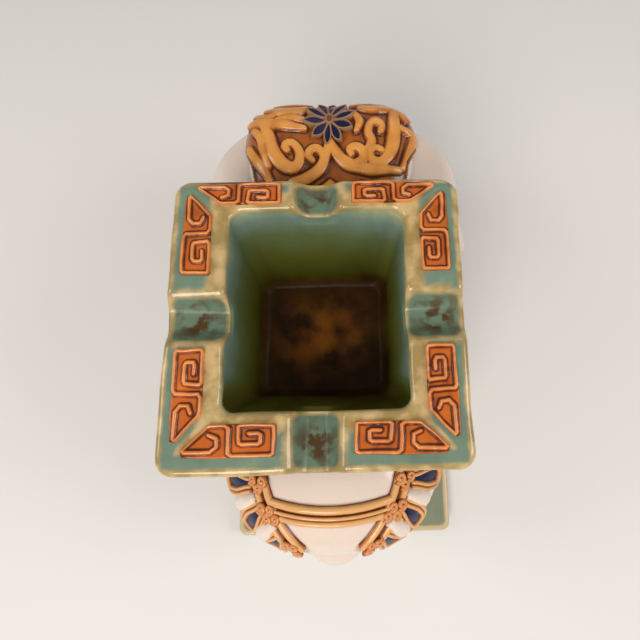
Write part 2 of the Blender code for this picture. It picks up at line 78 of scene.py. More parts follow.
def wobble(points, scale, seed):
    rng = np.random.default_rng(seed)
    total = np.zeros(points.shape[:-1])
    for _ in range(7):
        wave = rng.normal(size=3) * scale
        total += np.sin(points @ wave + rng.uniform(0, 6.28))
    return total / 4.0


# Mesh helpers: every modelled piece is a grid of points, closed at its ends, its border or on itself

def gridFaces(rows, columns, wrap, wrapRows=False):
    i = np.arange(rows if wrapRows else rows - 1)
    j = np.arange(columns if wrap else columns - 1)
    i, j = np.meshgrid(i, j, indexing="ij")
    h, k = (i + 1) % rows, (j + 1) % columns
    corners = [i * columns + j, i * columns + k, h * columns + k, h * columns + j]
    return np.stack(corners, -1).reshape(-1, 4)


def placePiece(name, data):
    piece = bpy.data.objects.new(name, data)
    bpy.context.scene.collection.objects.link(piece)
    return piece


def makePiece(name, points, faces, marks):
    mesh = bpy.data.meshes.new(name)
    mesh.from_pydata(points.tolist(), [], faces)
    for mark, values in marks.items():
        layer = mesh.attributes.new(mark, "FLOAT", "POINT")
        layer.data.foreach_set("value", np.asarray(values, np.float32).ravel())
    mesh.update()
    mesh.shade_smooth()
    return placePiece(name, mesh)


def closedTube(name, rings, marks):
    rows, columns = rings.shape[:2]
    end, last = rows * columns, (rows - 1) * columns
    points = np.concatenate([rings.reshape(-1, 3), [rings[0].mean(0), rings[-1].mean(0)]])
    faces = gridFaces(rows, columns, True).tolist()
    for j in range(columns):
        k = (j + 1) % columns
        faces += [[end, k, j], [end + 1, last + j, last + k]]
    a, b, c = (points[[face[corner] for face in faces]] for corner in range(3))
    if (np.cross(b - a, c - a) * ((a + b + c) / 3 - points.mean(0))).sum() <= 0:
        faces = [face[::-1] for face in faces]
    full = {}
    for mark, values in marks.items():
        full[mark] = np.concatenate([values.ravel(), [values[0].mean(), values[-1].mean()]])
    return makePiece(name, points, faces, full)


def closedSheet(name, outer, inner, marks):
    rows, columns = outer.shape[:2]
    size = rows * columns
    points = np.concatenate([outer.reshape(-1, 3), inner.reshape(-1, 3)])
    top = gridFaces(rows, columns, False)
    faces = top.tolist() + (top[:, ::-1] + size).tolist()
    order = np.arange(size).reshape(rows, columns)
    border = [*order[0, :-1], *order[:-1, -1], *order[-1, :0:-1], *order[:0:-1, 0]]
    for a, b in zip(border, border[1:] + border[:1]):
        faces.append([int(b), int(a), int(a + size), int(b + size)])
    a, b, c = outer[1:, 1:], outer[:-1, 1:], outer[1:, :-1]
    if (np.cross(b - a, c - a) * (outer - inner)[1:, 1:]).sum() > 0:
        faces = [face[::-1] for face in faces]
    full = {mark: np.concatenate([values.ravel(), values.ravel()]) for mark, values in marks.items()}
    return makePiece(name, points, faces, full)


def closedCollar(name, outer, inner, marks):
    points = np.concatenate([outer, inner[::-1]])  # out over the face, back under it
    rows, columns = points.shape[:2]
    faces = gridFaces(rows, columns, True, True)
    a, b, c = (points.reshape(-1, 3)[faces[: (len(outer) - 1) * columns, k]] for k in (0, 1, 3))
    if (np.cross(b - a, c - a) * (outer - inner)[:-1].reshape(-1, 3)).sum() < 0:
        faces = faces[:, ::-1]
    full = {mark: np.concatenate([values, values[::-1]]) for mark, values in marks.items()}
    return makePiece(name, points.reshape(-1, 3), faces.tolist(), full)


def dress(piece, material, node):
    if not piece.data.materials:
        piece.data.materials.append(material)
    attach(piece, "root")
    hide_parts(node)
    return piece


# Node helpers, for Geometry Nodes and for glazes

def newTree(kind, name, inputs, output):
    tree = bpy.data.node_groups.new(name, kind)
    for label, socket in inputs.items():
        tree.interface.new_socket(label, in_out="INPUT", socket_type="NodeSocket" + socket)
    tree.interface.new_socket(output, in_out="OUTPUT", socket_type="NodeSocket" + output)
    return tree, tree.nodes.new("NodeGroupInput").outputs


def addNode(tree, kind, inputs, **settings):  # gives back the first output in use
    node = tree.nodes.new(kind)
    for name, value in settings.items():
        setattr(node, name, value)
    for name, value in inputs.items():
        socket = node.inputs[name]
        if isinstance(value, bpy.types.NodeSocket):
            tree.links.new(value, socket)
        else:
            socket.default_value = (*value, 1) if socket.type == "RGBA" else value
    return next((socket for socket in node.outputs if socket.enabled), None)


def calc(tree, operation, *values):
    return addNode(tree, "ShaderNodeMath", dict(enumerate(values)), operation=operation)


def spanNode(tree, value, low, high):
    inputs = {"Value": value, "From Min": low, "From Max": high}
    return addNode(tree, "ShaderNodeMapRange", inputs, interpolation_type="SMOOTHSTEP")


def mixColour(tree, factor, a, b):
    return addNode(tree, "ShaderNodeMix", {"Factor": factor, "A": a, "B": b}, data_type="RGBA")


def swayed(tree, noise, amount, base):  # a mask or value moved about by noise
    return calc(tree, "MULTIPLY_ADD", calc(tree, "SUBTRACT", noise, 0.5), amount, base)


def readMark(tree, name, kind):
    return addNode(tree, "GeometryNodeInputNamedAttribute", {"Name": name}, data_type=kind)


def closeTree(tree, given, geometry, facingShadeTones):
    # painted shade by facing: the side that faces out from the body is paler and the sides turned away darker,
    # then the result is made real and glazed
    real = addNode(tree, "GeometryNodeRealizeInstances", {"Geometry": geometry})
    ways = {0: addNode(tree, "GeometryNodeInputNormal", {}), 1: readMark(tree, "facing", "FLOAT_VECTOR")}
    out = addNode(tree, "ShaderNodeVectorMath", ways, operation="DOT_PRODUCT")
    span = {"Value": out, "From Min": 0.1, "From Max": 0.8, "To Min": facingShadeTones[0], "To Max": facingShadeTones[1]}
    stored = {"Geometry": real, "Name": "relief", "Value": addNode(tree, "ShaderNodeMapRange", span)}
    toned = addNode(tree, "GeometryNodeStoreNamedAttribute", stored, data_type="FLOAT", domain="POINT")
    smooth = addNode(tree, "GeometryNodeSetShadeSmooth", {"Geometry": toned})
    glazed = addNode(tree, "GeometryNodeSetMaterial", {"Geometry": smooth, "Material": given["Glaze"]})
    addNode(tree, "NodeGroupOutput", {"Geometry": glazed})
    return tree


def standOn(tree, points, shape, scale):
    facing = readMark(tree, "facing", "FLOAT_VECTOR")
    turn = addNode(tree, "FunctionNodeAlignRotationToVector", {"Vector": facing}, axis="Z")
    inputs = {"Points": points, "Instance": shape, "Rotation": turn, "Scale": scale}
    return addNode(tree, "GeometryNodeInstanceOnPoints", inputs)


def pieceTree(name, inputs):  # each takes guide points or lines, and a glaze
    inputs = {"Geometry": "Geometry", **inputs, "Glaze": "Material"}
    return newTree("GeometryNodeTree", name, inputs, "Geometry")


def makeCordTree():
    tree, given = pieceTree("glazedCords", {"Sides": "Int", "Unevenness": "Float"})
    curve = addNode(tree, "GeometryNodeMeshToCurve", {"Mesh": given["Geometry"]})
    noise = addNode(tree, "ShaderNodeTexNoise", {"Scale": 240})
    uneven = calc(tree, "MULTIPLY_ADD", noise, given["Unevenness"], 0.9)
    radius = calc(tree, "MULTIPLY", uneven, readMark(tree, "thick", "FLOAT"))
    ring = addNode(tree, "GeometryNodeCurvePrimitiveCircle", {"Radius": 1.0, "Resolution": given["Sides"]})
    skin = {"Curve": curve, "Profile Curve": ring, "Scale": radius, "Fill Caps": True}
    return closeTree(tree, given, addNode(tree, "GeometryNodeCurveToMesh", skin), (0.30, 0.98))


def makeKnotTree():
    tree, given = pieceTree("coiledKnots", {"Turns": "Float", "Coil Radius": "Float", "Cord Radius": "Float"})
    points = addNode(tree, "GeometryNodeMeshToPoints", {"Mesh": given["Geometry"]})
    spiral = {"Resolution": 18, "Start Radius": 0.0004, "Height": 0.0}
    spiral.update({"Rotations": given["Turns"], "End Radius": given["Coil Radius"]})
    coil = addNode(tree, "GeometryNodeCurveSpiral", spiral)
    ring = addNode(tree, "GeometryNodeCurvePrimitiveCircle", {"Resolution": 10, "Radius": given["Cord Radius"]})
    skin = addNode(tree, "GeometryNodeCurveToMesh", {"Curve": coil, "Profile Curve": ring, "Fill Caps": True})
    return closeTree(tree, given, standOn(tree, points, skin, readMark(tree, "thick", "FLOAT")), (0.12, 0.72))


def makeBeadTree():
    tree, given = pieceTree("edgeBeads", {"Spacing": "Float", "Bead Radius": "Float", "Seed": "Int"})
    curve = addNode(tree, "GeometryNodeMeshToCurve", {"Mesh": given["Geometry"]})
    spaced = {"Curve": curve, "Length": given["Spacing"]}
    points = addNode(tree, "GeometryNodeResampleCurve", spaced, mode="LENGTH")
    bead = {"Segments": 10, "Rings": 6, "Radius": given["Bead Radius"]}
    size = {2: 0.82, 3: 1.12, "Seed": given["Seed"]}  # least and greatest share of the radius
    scale = addNode(tree, "FunctionNodeRandomValue", size, data_type="FLOAT")
    shape = addNode(tree, "GeometryNodeMeshUVSphere", bead)
    return closeTree(tree, given, standOn(tree, points, shape, scale), (0.02, 0.46))


def runTree(name, tree, lines, facings, sizes, values):
    points, edges = [], []
    for line in lines:
        first = len(points)
        points += np.asarray(line).tolist()
        edges += [(k, k + 1) for k in range(first, len(points) - 1)]
    mesh = bpy.data.meshes.new(name + "Guide")
    mesh.from_pydata(points, edges, [])
    marks = (("facing", "FLOAT_VECTOR", "vector", facings), ("thick", "FLOAT", "value", sizes))
    for mark, kind, field, given in marks:
        layer = mesh.attributes.new(mark, kind, "POINT")
        layer.data.foreach_set(field, np.concatenate(given).astype(np.float32).ravel())
    guide = placePiece(name + "Guide", mesh)
    made = guide.modifiers.new("shape", "NODES")
    made.node_group = tree
    for item in tree.interface.items_tree:
        if item.in_out == "INPUT" and item.name in values:
            made[item.identifier] = values[item.name]
    bpy.context.view_layer.update()
    shaped = guide.evaluated_get(bpy.context.evaluated_depsgraph_get())
    result = bpy.data.meshes.new_from_object(shaped)
    bpy.data.objects.remove(guide, do_unlink=True)
    result.name = name
    return placePiece(name, result)


cordTree, knotTree, beadTree = makeCordTree(), makeKnotTree(), makeBeadTree()
print("node trees ready")


# Body forms, close to the solids

torsoForm = {
    "half": 0.058, "rear": -0.1137, "rump": -0.1065, "front": 0.092, "waistRear": -0.030, "waistFront": 0.020,
    "middle": 0.104, "up": 0.050, "down": 0.046, "lift": 0.010, "power": 2.2, "lowPower": 2.2,
    "lobe": 0.0113, "lobeHalf": 0.0180, "lobeUp": 0.020, "lobeDown": 0.030,  # a rounder tip of the rump
    "lobeFrom": 0.060, "lobeFull": 0.095,
}
headForm = {
    "half": 0.048, "rear": 0.062, "front": 0.1375, "centre": 0.103, "middle": 0.114,
    "up": 0.0395, "down": 0.042, "dip": 0.0045, "power": 4.0, "lowPower": 2.4,
}


def torsoSize(y):  # half width, height up and down from the middle, and the middle
    f = SimpleNamespace(**torsoForm)
    rear, front = share(y, f.waistRear, f.rump), share(y, f.waistFront, f.front)
    neck = fall(front, 2.6, 2)
    wide, tall = f.half * fall(rear, 4, 1.6) * neck, fall(rear, 4, 2.4) * neck
    lobe = np.sqrt(np.clip((y - f.rear) / f.lobe, 0, 1.5)) * rise(-y, f.lobeFrom, f.lobeFull)
    rump = np.minimum(lobe, 1)
    middle = f.middle + f.lift * (share(y, f.waistRear, f.rear) ** 3 + front**2)
    up, low = blend(f.up * tall, f.lobeUp * rump), blend(f.down * tall, f.lobeDown * rump)
    return blend(wide, f.lobeHalf * lobe), up, low, middle


def headSize(y):
    f = SimpleNamespace(**headForm)
    reach = np.where(y > f.centre, f.front - f.centre, f.centre - f.rear)
    u = np.clip(np.abs(y - f.centre) / reach, 0, 1)
    tall = fall(u, 2.6, 1.6)
    return f.half * fall(u, 3.5, 2.5), f.up * tall, f.down * tall, f.middle + 0 * u


def dipAt(form, x, up):  # the groove between the two domes
    if "dip" not in form:
        return 0 * x
    return form["dip"] * up / form["up"] * np.exp(-((4 * x / form["half"]) ** 2))


def bodyPoint(size, form, angle, y):
    half, up, low, middle = size(y)
    c, s = np.cos(angle), np.sin(angle)
    p = np.where(s > 0, form["power"], form["lowPower"])
    r = (np.abs(c) ** p + np.abs(s) ** p) ** (-1 / p)
    x = half * c * r
    z = middle + np.where(s > 0, up, low) * s * r - np.where(s > 0, dipAt(form, x, up), 0)
    return np.stack([x, y + 0 * x, z], -1)


def angleAtX(q, power):  # q is the share of the half width
    return np.arctan2(fall(q, power, power), q)


def bodyRings(size, form, rows, columns):
    middle, reach = (form["rear"] + form["front"]) / 2, (form["front"] - form["rear"]) / 2
    endGap = 0.012
    y = middle - reach * np.cos(np.linspace(endGap, math.pi - endGap, rows))[:, None]
    angle = circle(columns)[None, :]
    return bodyPoint(size, form, angle + 0 * y, y + 0 * angle)


def bodyField(size, form):  # below zero inside the body
    def field(p):
        half, up, low, middle = size(p[..., 1])
        half, up, low = (np.maximum(v, 1e-5) for v in (half, up, low))
        z = p[..., 2] - middle
        z = z + np.where(z > 0, dipAt(form, p[..., 0], up), 0)
        power = np.where(z > 0, form["power"], form["lowPower"])
        return (np.abs(p[..., 0]) / half) ** power + (np.abs(z) / np.where(z > 0, up, low)) ** power - 1
    return field


torsoField = bodyField(torsoSize, torsoForm)
headField = bodyField(headSize, headForm)


def slope(field, p):
    step = 2e-5
    n = np.stack([field(p + step * axis) - field(p - step * axis) for axis in np.eye(3)], -1)
    return n / np.maximum(np.linalg.norm(n, axis=-1, keepdims=True), 1e-9)


def seat(field, start, way, reach):
    tries, halvings = 80, 22
    low, high = np.zeros(start.shape[:-1]), np.zeros(start.shape[:-1])
    found = np.zeros(start.shape[:-1], bool)
    for t in np.linspace(0, reach, tries):  # first step that goes inside
        inside = (field(start + way * t) < 0) & ~found
        high[inside], low[inside] = t, t - reach / (tries - 1)
        found |= inside
    low[~found] = high[~found] = reach
    for _ in range(halvings):
        middle = (low + high) / 2
        inside = field(start + way * middle[..., None]) < 0
        high, low = np.where(inside, middle, high), np.where(inside, low, middle)
    hit = start + way * high[..., None]
    return hit, slope(field, hit)


def layOn(field, x, y):
    start = np.stack([x, y, np.full(np.shape(x), skyHeight)], -1)
    return seat(field, start, np.array([0.0, 0.0, -1.0]), skyReach)


def sweepRings(points, radii, rows, columns, shape):  # a tube along a cubic B-spline
    knots = np.concatenate([[0, 0, 0], np.linspace(0, 1, len(points) - 2), [1, 1, 1]])
    t = np.linspace(0, 1 - 1e-9, rows)
    basis = np.array([(t >= knots[i]) & (t < knots[i + 1]) for i in range(len(knots) - 1)], float)
    for k in range(1, 4):
        nextBasis = []
        for i in range(len(knots) - 1 - k):
            one, two = knots[i + k] - knots[i], knots[i + k + 1] - knots[i + 1]
            a = (t - knots[i]) / one * basis[i] if one > 0 else 0 * t
            b = (knots[i + k + 1] - t) / two * basis[i + 1] if two > 0 else 0 * t
            nextBasis.append(a + b)
        basis = np.array(nextBasis)
    path, radius = basis.T @ np.asarray(points, float), basis.T @ np.asarray(radii, float)
    along = np.gradient(path, axis=0)
    along /= np.linalg.norm(along, axis=1, keepdims=True)
    side = np.array([1.0, 0, 0]) - along * along[:, :1]
    side /= np.linalg.norm(side, axis=1, keepdims=True)
    up = np.cross(along, side)
    angle = circle(columns)[None, :]
    r = (radius[:, None] + shape(t[:, None], angle))[..., None]
    ring = np.cos(angle)[..., None] * side[:, None] + np.sin(angle)[..., None] * up[:, None]
    return path[:, None] + r * ring


def smoothPath(points, count):
    points = np.array(points, float)
    for _ in range(3):
        cut = [points[0]]
        for a, b in zip(points, points[1:]):
            cut += [a * 0.75 + b * 0.25, a * 0.25 + b * 0.75]
        points = np.array(cut + [points[-1]])
    run = np.concatenate([[0], np.cumsum(np.linalg.norm(np.diff(points, axis=0), axis=1))])
    t = np.linspace(0, run[-1], count)
    return np.stack([np.interp(t, run, points[:, k]) for k in range(2)], -1)


def sideways(path):
    way = np.gradient(path, axis=0)
    way /= np.linalg.norm(way, axis=1, keepdims=True)
    return np.stack([-way[:, 1], way[:, 0]], -1)


def reliefGap(x, y, strokes):  # distance outside the nearest stroke, each a path with half widths
    best = np.full(x.shape, 9.0)
    for path, widths in strokes:
        for a, b, wa, wb in zip(path, path[1:], widths, widths[1:]):
            way = b - a
            t = np.clip(((x - a[0]) * way[0] + (y - a[1]) * way[1]) / max(way @ way, 1e-12), 0, 1)
            gap = np.hypot(x - a[0] - t * way[0], y - a[1] - t * way[1]) - (wa + (wb - wa) * t)
            best = np.minimum(best, gap)
    return best


def lineDistance(x, y, path):
    return reliefGap(x, y, [(path, np.zeros(len(path)))])


# Glazes

satin = {"Roughness": 0.24, "Coat Weight": 0.25, "Coat Roughness": 0.12, "Specular IOR Level": 0.40}
matt = {"Roughness": 0.38, "Coat Weight": 0.08, "Coat Roughness": 0.20, "Specular IOR Level": 0.25}
glossy = {"Roughness": 0.18, "Coat Weight": 0.35, "Coat Roughness": 0.06, "Specular IOR Level": 0.35}
glazeIor = 1.5
rippleLook = {"Strength": 0.16, "Distance": 0.0004}
rippleScale = 60

whiteLook = {
    "clean": (0.82, 0.70, 0.62), "warm": (0.78, 0.63, 0.52), "stain": (0.42, 0.17, 0.06),
    "craze": (0.60, 0.42, 0.26), "crazeScale": 150, "crazeWidth": 0.014, "crazeShare": 0.10,
}
goldLook = {
    "Thick": (0.062, 0.013, 0.002), "Even": (0.43, 0.112, 0.010), "Thin": (0.78, 0.335, 0.070),
    "Mottle": 0.54, "Scale": 130,
}
cordLook = {
    "Thick": (0.12, 0.028, 0.008), "Even": (0.54, 0.190, 0.052), "Thin": (0.78, 0.42, 0.165),
    "Mottle": 0.26, "Scale": 210,
}
knotLook = {
    "Thick": (0.14, 0.030, 0.007), "Even": (0.58, 0.185, 0.045), "Thin": (0.86, 0.42, 0.15),
    "Mottle": 0.26, "Scale": 260,
}
amberLook = {
    "Thick": (0.085, 0.018, 0.004), "Even": (0.58, 0.125, 0.011), "Thin": (0.80, 0.31, 0.085),
    "Mottle": 0.26, "Scale": 190,
}
slabLook = {
    "Thick": (0.11, 0.155, 0.105), "Even": (0.25, 0.28, 0.19), "Thin": (0.62, 0.48, 0.28),
    "Mottle": 0.30, "Scale": 90,
}
blueLook = {"deep": (0.0045, 0.0045, 0.032), "glint": (0.011, 0.012, 0.080)}
flowerLook = {"rim": (0.34, 0.185, 0.100), "petal": (0.006, 0.006, 0.024), "heart": (0.26, 0.095, 0.024)}
trayLook = {
    "teal": (0.215, 0.310, 0.225), "deepTeal": (0.080, 0.135, 0.095), "cream": (0.62, 0.44, 0.200),
    "olive": (0.360, 0.250, 0.085), "restBrown": (0.085, 0.043, 0.014), "restTeal": (0.135, 0.205, 0.140),
    # painted light: the amber of the lit pool on the middle of the bowl's floor
    "amberFloorLight": (0.240, 0.075, 0.005),
    "bowl": (  # from the floor up to the lip
        (0.00, (0.020, 0.0075, 0.0008)), (0.08, (0.030, 0.0150, 0.0010)), (0.18, (0.046, 0.044, 0.0035)),
        (0.44, (0.072, 0.080, 0.012)), (0.66, (0.090, 0.118, 0.046)), (0.86, (0.140, 0.205, 0.160)),
        (0.96, (0.24, 0.30, 0.20)), (1.00, (0.42, 0.38, 0.19)),
    ),
    "noise": {  # scale, detail and stretch
        "rim": (75, 5), "cream": (150, 5), "pale": (95, 4), "blot": (170, 5), "runs": (55, 5, (1, 1, 0.35)),
        "glow": (60, 4),
    },
    "dulled": {  # change and start
        "Specular IOR Level": (-0.26, 0.36), "Coat Weight": (-0.38, 0.40), "Roughness": (0.34, 0.16),
    },
}


def makePoolGroup():
    colours, values = ("Thick", "Even", "Thin"), ("Height", "Mottle", "Scale")
    inputs = {**dict.fromkeys(colours, "Color"), **dict.fromkeys(values, "Float")}
    group, given = newTree("ShaderNodeTree", "poolingGlaze", inputs, "Color")
    place = group.nodes.new("ShaderNodeTexCoord").outputs["Object"]
    noise = {"Vector": place, "Scale": given["Scale"], "Detail": 4, "Roughness": 0.6}
    moved = swayed(group, addNode(group, "ShaderNodeTexNoise", noise), given["Mottle"], given["Height"])
    lower = mixColour(group, spanNode(group, moved, 0.0, 0.5), given["Thick"], given["Even"])
    whole = mixColour(group, spanNode(group, moved, 0.5, 1.0), lower, given["Thin"])
    addNode(group, "NodeGroupOutput", {"Color": whole})
    return group


poolGroup = makePoolGroup()


def noiseNode(tree, place, scale, detail=3, stretch=None):
    if stretch:
        place = addNode(tree, "ShaderNodeMapping", {"Vector": place, "Scale": stretch})
    return addNode(tree, "ShaderNodeTexNoise", {"Vector": place, "Scale": scale, "Detail": detail})


def markNode(tree, name):
    node = tree.nodes.new("ShaderNodeAttribute")
    node.attribute_name = name
    return node.outputs["Fac"]


def ramp(tree, value, stops):
    node = tree.nodes.new("ShaderNodeValToRGB")
    tree.links.new(value, node.inputs["Fac"])
    band = node.color_ramp
    while len(band.elements) < len(stops):
        band.elements.new(0.5)
    for element, (at, colour) in zip(band.elements, stops):
        element.position = at
        element.color = (*colour, 1)
    return node.outputs["Color"]


def pooled(tree, look):
    inputs = {**look, "Height": markNode(tree, "relief")}
    return addNode(tree, "ShaderNodeGroup", inputs, node_tree=poolGroup)


def startGlaze(name, gloss):
    material = bpy.data.materials.new(name)
    material.use_nodes = True
    tree = material.node_tree
    shader = tree.nodes["Principled BSDF"].inputs
    for socket, value in {**gloss, "IOR": glazeIor}.items():
        shader[socket].default_value = value
    place = tree.nodes.new("ShaderNodeTexCoord").outputs["Object"]
    ripple = {**rippleLook, "Height": noiseNode(tree, place, rippleScale, 2)}
    tree.links.new(addNode(tree, "ShaderNodeBump", ripple), shader["Normal"])
    return material, tree, shader, place


def makeWhite():
    material, tree, shader, place = startGlaze("whiteGlaze", glossy)
    look = whiteLook
    colour = mixColour(tree, noiseNode(tree, place, 22), look["clean"], look["warm"])
    cells = {"Vector": place, "Scale": look["crazeScale"]}
    craze = addNode(tree, "ShaderNodeTexVoronoi", cells, feature="DISTANCE_TO_EDGE")
    line = calc(tree, "MULTIPLY", calc(tree, "LESS_THAN", craze, look["crazeWidth"]), look["crazeShare"])
    colour = mixColour(tree, line, colour, look["craze"])
    colour = mixColour(tree, markNode(tree, "stain"), colour, look["stain"])
    tree.links.new(colour, shader["Base Color"])
    return material


def makePooled(name, look, gloss):
    material, tree, shader, _ = startGlaze(name, gloss)
    tree.links.new(pooled(tree, look), shader["Base Color"])
    return material


def makeBlue():
    material, tree, shader, place = startGlaze("blueGlaze", matt)
    blue = mixColour(tree, noiseNode(tree, place, 120), blueLook["deep"], blueLook["glint"])
    hemmed = mixColour(tree, markNode(tree, "hem"), blue, pooled(tree, cordLook))
    tree.links.new(hemmed, shader["Base Color"])
    return material


def makeFlower():
    material, tree, shader, place = startGlaze("daisyGlaze", matt)
    colour = mixColour(tree, noiseNode(tree, place, 260), flowerLook["petal"], blueLook["glint"])
    for mark in ("rim", "heart"):
        colour = mixColour(tree, markNode(tree, mark), colour, flowerLook[mark])
    tree.links.new(colour, shader["Base Color"])
    return material


def makeTray():
    material, tree, shader, place = startGlaze("greenTrayGlaze", glossy)
    look = trayLook

    def noise(name):
        return noiseNode(tree, place, *look["noise"][name])

    rim = mixColour(tree, swayed(tree, noise("rim"), 1.1, 0.62), look["deepTeal"], look["teal"])
    creamy = spanNode(tree, swayed(tree, noise("cream"), 0.95, markNode(tree, "cream")), 0.18, 0.88)
    pale = mixColour(tree, spanNode(tree, noise("pale"), 0.38, 0.62), look["olive"], look["cream"])
    rim = mixColour(tree, creamy, rim, pale)
    blot = spanNode(tree, noise("blot"), 0.40, 0.60)
    blot = calc(tree, "MULTIPLY", blot, calc(tree, "MULTIPLY_ADD", markNode(tree, "core"), 1.2, 0.35))
    dish = mixColour(tree, blot, look["restTeal"], look["restBrown"])
    rim = mixColour(tree, markNode(tree, "rest"), rim, dish)
    bowl = ramp(tree, swayed(tree, noise("runs"), 0.34, markNode(tree, "depth")), look["bowl"])
    # painted light: a lighter amber pool on the middle of the bowl's floor
    glow = calc(tree, "MULTIPLY", markNode(tree, "middle"), spanNode(tree, noise("glow"), 0.35, 0.65))
    low = calc(tree, "LESS_THAN", markNode(tree, "depth"), 0.12)
    bowl = mixColour(tree, calc(tree, "MULTIPLY", glow, low), bowl, look["amberFloorLight"])
    inside = markNode(tree, "bowl")
    tree.links.new(mixColour(tree, inside, rim, bowl), shader["Base Color"])
    dull = calc(tree, "MAXIMUM", inside, calc(tree, "MULTIPLY", markNode(tree, "rest"), 0.75))
    for socket, (change, start) in look["dulled"].items():  # ash has dulled the bowl and the rests
        tree.links.new(calc(tree, "MULTIPLY_ADD", dull, change, start), shader[socket])
    return material


whiteGlaze = makeWhite()
goldGlaze = makePooled("goldReliefGlaze", goldLook, satin)
cordGlaze = makePooled("cordGlaze", cordLook, glossy)
knotGlaze = makePooled("knotGlaze", knotLook, satin)
amberGlaze = makePooled("amberKeyGlaze", amberLook, satin)
slabGlaze = makePooled("greenSlabGlaze", slabLook, glossy)
blueGlaze = makeBlue()
daisyGlaze = makeFlower()
trayGlaze = makeTray()
print("glazes ready")


# Tray: a closed section carried round a square, dipped at the four rests

trayForm = {
    "side": 0.128, "x": -0.004, "top": 0.180, "thick": 0.009, "edge": 0.0026, "underEdge": 0.003,
    "mouthX": 0.0388, "mouthY": 0.0444, "mouthShift": 0.0047, "floorX": 0.032, "floorY": 0.030,
    "depth": 0.045, "wall": 0.005, "floorThick": 0.006, "floorRound": 0.004, "bow": 0.10,
    "corner": 0.0075, "footCorner": 0.007, "mouthCorner": 0.0055, "sway": 0.0005, "wave": 0.00035,
    "restDepth": 0.0062, "restFlat": 0.0028, "restReach": 0.0125, "restSlope": 0.105, "restFrom": 0.28,
    "dish": 0.0098, "dishEnds": (0.0056, 0.0046), "dishRound": 0.004, "dishSoft": (0.0026, 0.0048),
    "ash": (0.0060, 0.0062), "ashInset": 0.0115,  # reach and place of the darkest glaze in a rest
    "edgeCream": (0.0008, 0.0050), "mouthCream": (0.0030, 0.0135), "lipGlaze": 0.0010,  # spans from the edges
    # this line also sets the span of the painted shade up the bowl's near wall and the reach of the painted light
    # pool on its floor
    "mitre": (0.0012, 0.0040), "mitreFrom": (0.006, 0.010), "nearWall": (0.022, 0.036), "glow": (0.020, 0.018),
}
fretForm = {
    "tip": 0.0100, "end": 0.0486, "ridge": 0.00096, "height": 0.0011, "bed": 0.0007, "margin": 0.0012,
    "grain": 0.00024, "sway": 0.00022, "rough": 0.00010, "sunk": 0.0010, "back": 0.0014,
    "soft": (-0.0006, 0.0002), "seam": (-0.0001, 0.0007), "shade": (1.22, 0.00046),  # the shade pair places a painted shade line beside a ridge
    "near": (0.0065, 0.0137, 0.0), "sideNear": (0.0052, 0.0132, 0.0026),  # inset, depth and shift of each row
    "sideFar": (0.0052, 0.0132, -0.0034), "far": (0.0018, 0.0106, 0.0),
}
keyOutline = (  # shares along and across
    (0.0, 0.22), (0.03, 0.03), (0.50, 0.0), (0.97, 0.02), (1.0, 0.08), (1.0, 0.95), (0.97, 1.0), (0.30, 1.0),
)
keyLine = (
    (0.31, 0.69), (0.385, 0.60), (0.39, 0.36), (0.33, 0.22), (0.06, 0.20), (0.035, 0.27), (0.29, 0.93),
    (0.33, 0.95), (0.46, 0.95), (0.505, 0.86), (0.51, 0.16), (0.55, 0.08), (0.94, 0.08), (0.975, 0.14),
    (0.975, 0.92), (0.94, 0.955), (0.63, 0.955), (0.605, 0.90), (0.62, 0.44), (0.65, 0.40), (0.81, 0.41),
    (0.84, 0.46), (0.84, 0.68), (0.81, 0.72), (0.72, 0.71),
)
fretPlaces = (  # node, row, whether it runs along y, signs of x and y
    ("fret_near_left", "near", False, 1, 1), ("fret_near_right", "near", False, -1, 1),
    ("fret_left_near", "sideNear", True, 1, 1), ("fret_right_near", "sideNear", True, -1, 1),
    ("fret_left_far", "sideFar", True, 1, -1), ("fret_right_far", "sideFar", True, -1, -1),
    ("fret_far_left", "far", False, 1, -1), ("fret_far_right", "far", False, -1, -1),
)


def squareRing(halfX, halfY, corner, count, place):
    side = count // 4
    arc = max(4, side // 8)  # a corner's arc, then the straight run to the next corner
    centres = np.array([(1, 1), (-1, 1), (-1, -1), (1, -1)]) * (np.array([halfX, halfY]) - corner)
    run = np.linspace(0, 1, side - arc, endpoint=False)[:, None]
    points = []
    for k in range(4):
        angle = math.pi / 2 * (k + np.linspace(0, 1, arc, endpoint=False))
        turn = corner * np.array([math.cos(math.pi / 2 * (k + 1)), math.sin(math.pi / 2 * (k + 1))])
        start, stop = centres[k] + turn, centres[(k + 1) % 4] + turn
        rounding = centres[k] + corner * np.stack([np.cos(angle), np.sin(angle)], -1)
        points += [rounding, start + (stop - start) * run]
    return np.column_stack([np.concatenate(points) + place[:2], np.full(4 * side, place[2])])


def bowlOuter(z):  # half sizes and shift of the bowl's outer face at a height
    f = SimpleNamespace(**trayForm)
    t = share(z, f.top - f.depth - f.floorThick, f.top - f.thick - f.wall)
    halfX, halfY = f.floorX + f.wall + (f.mouthX - f.floorX) * t, f.floorY + f.wall + (f.mouthY - f.floorY) * t
    return halfX, halfY, f.mouthShift * t


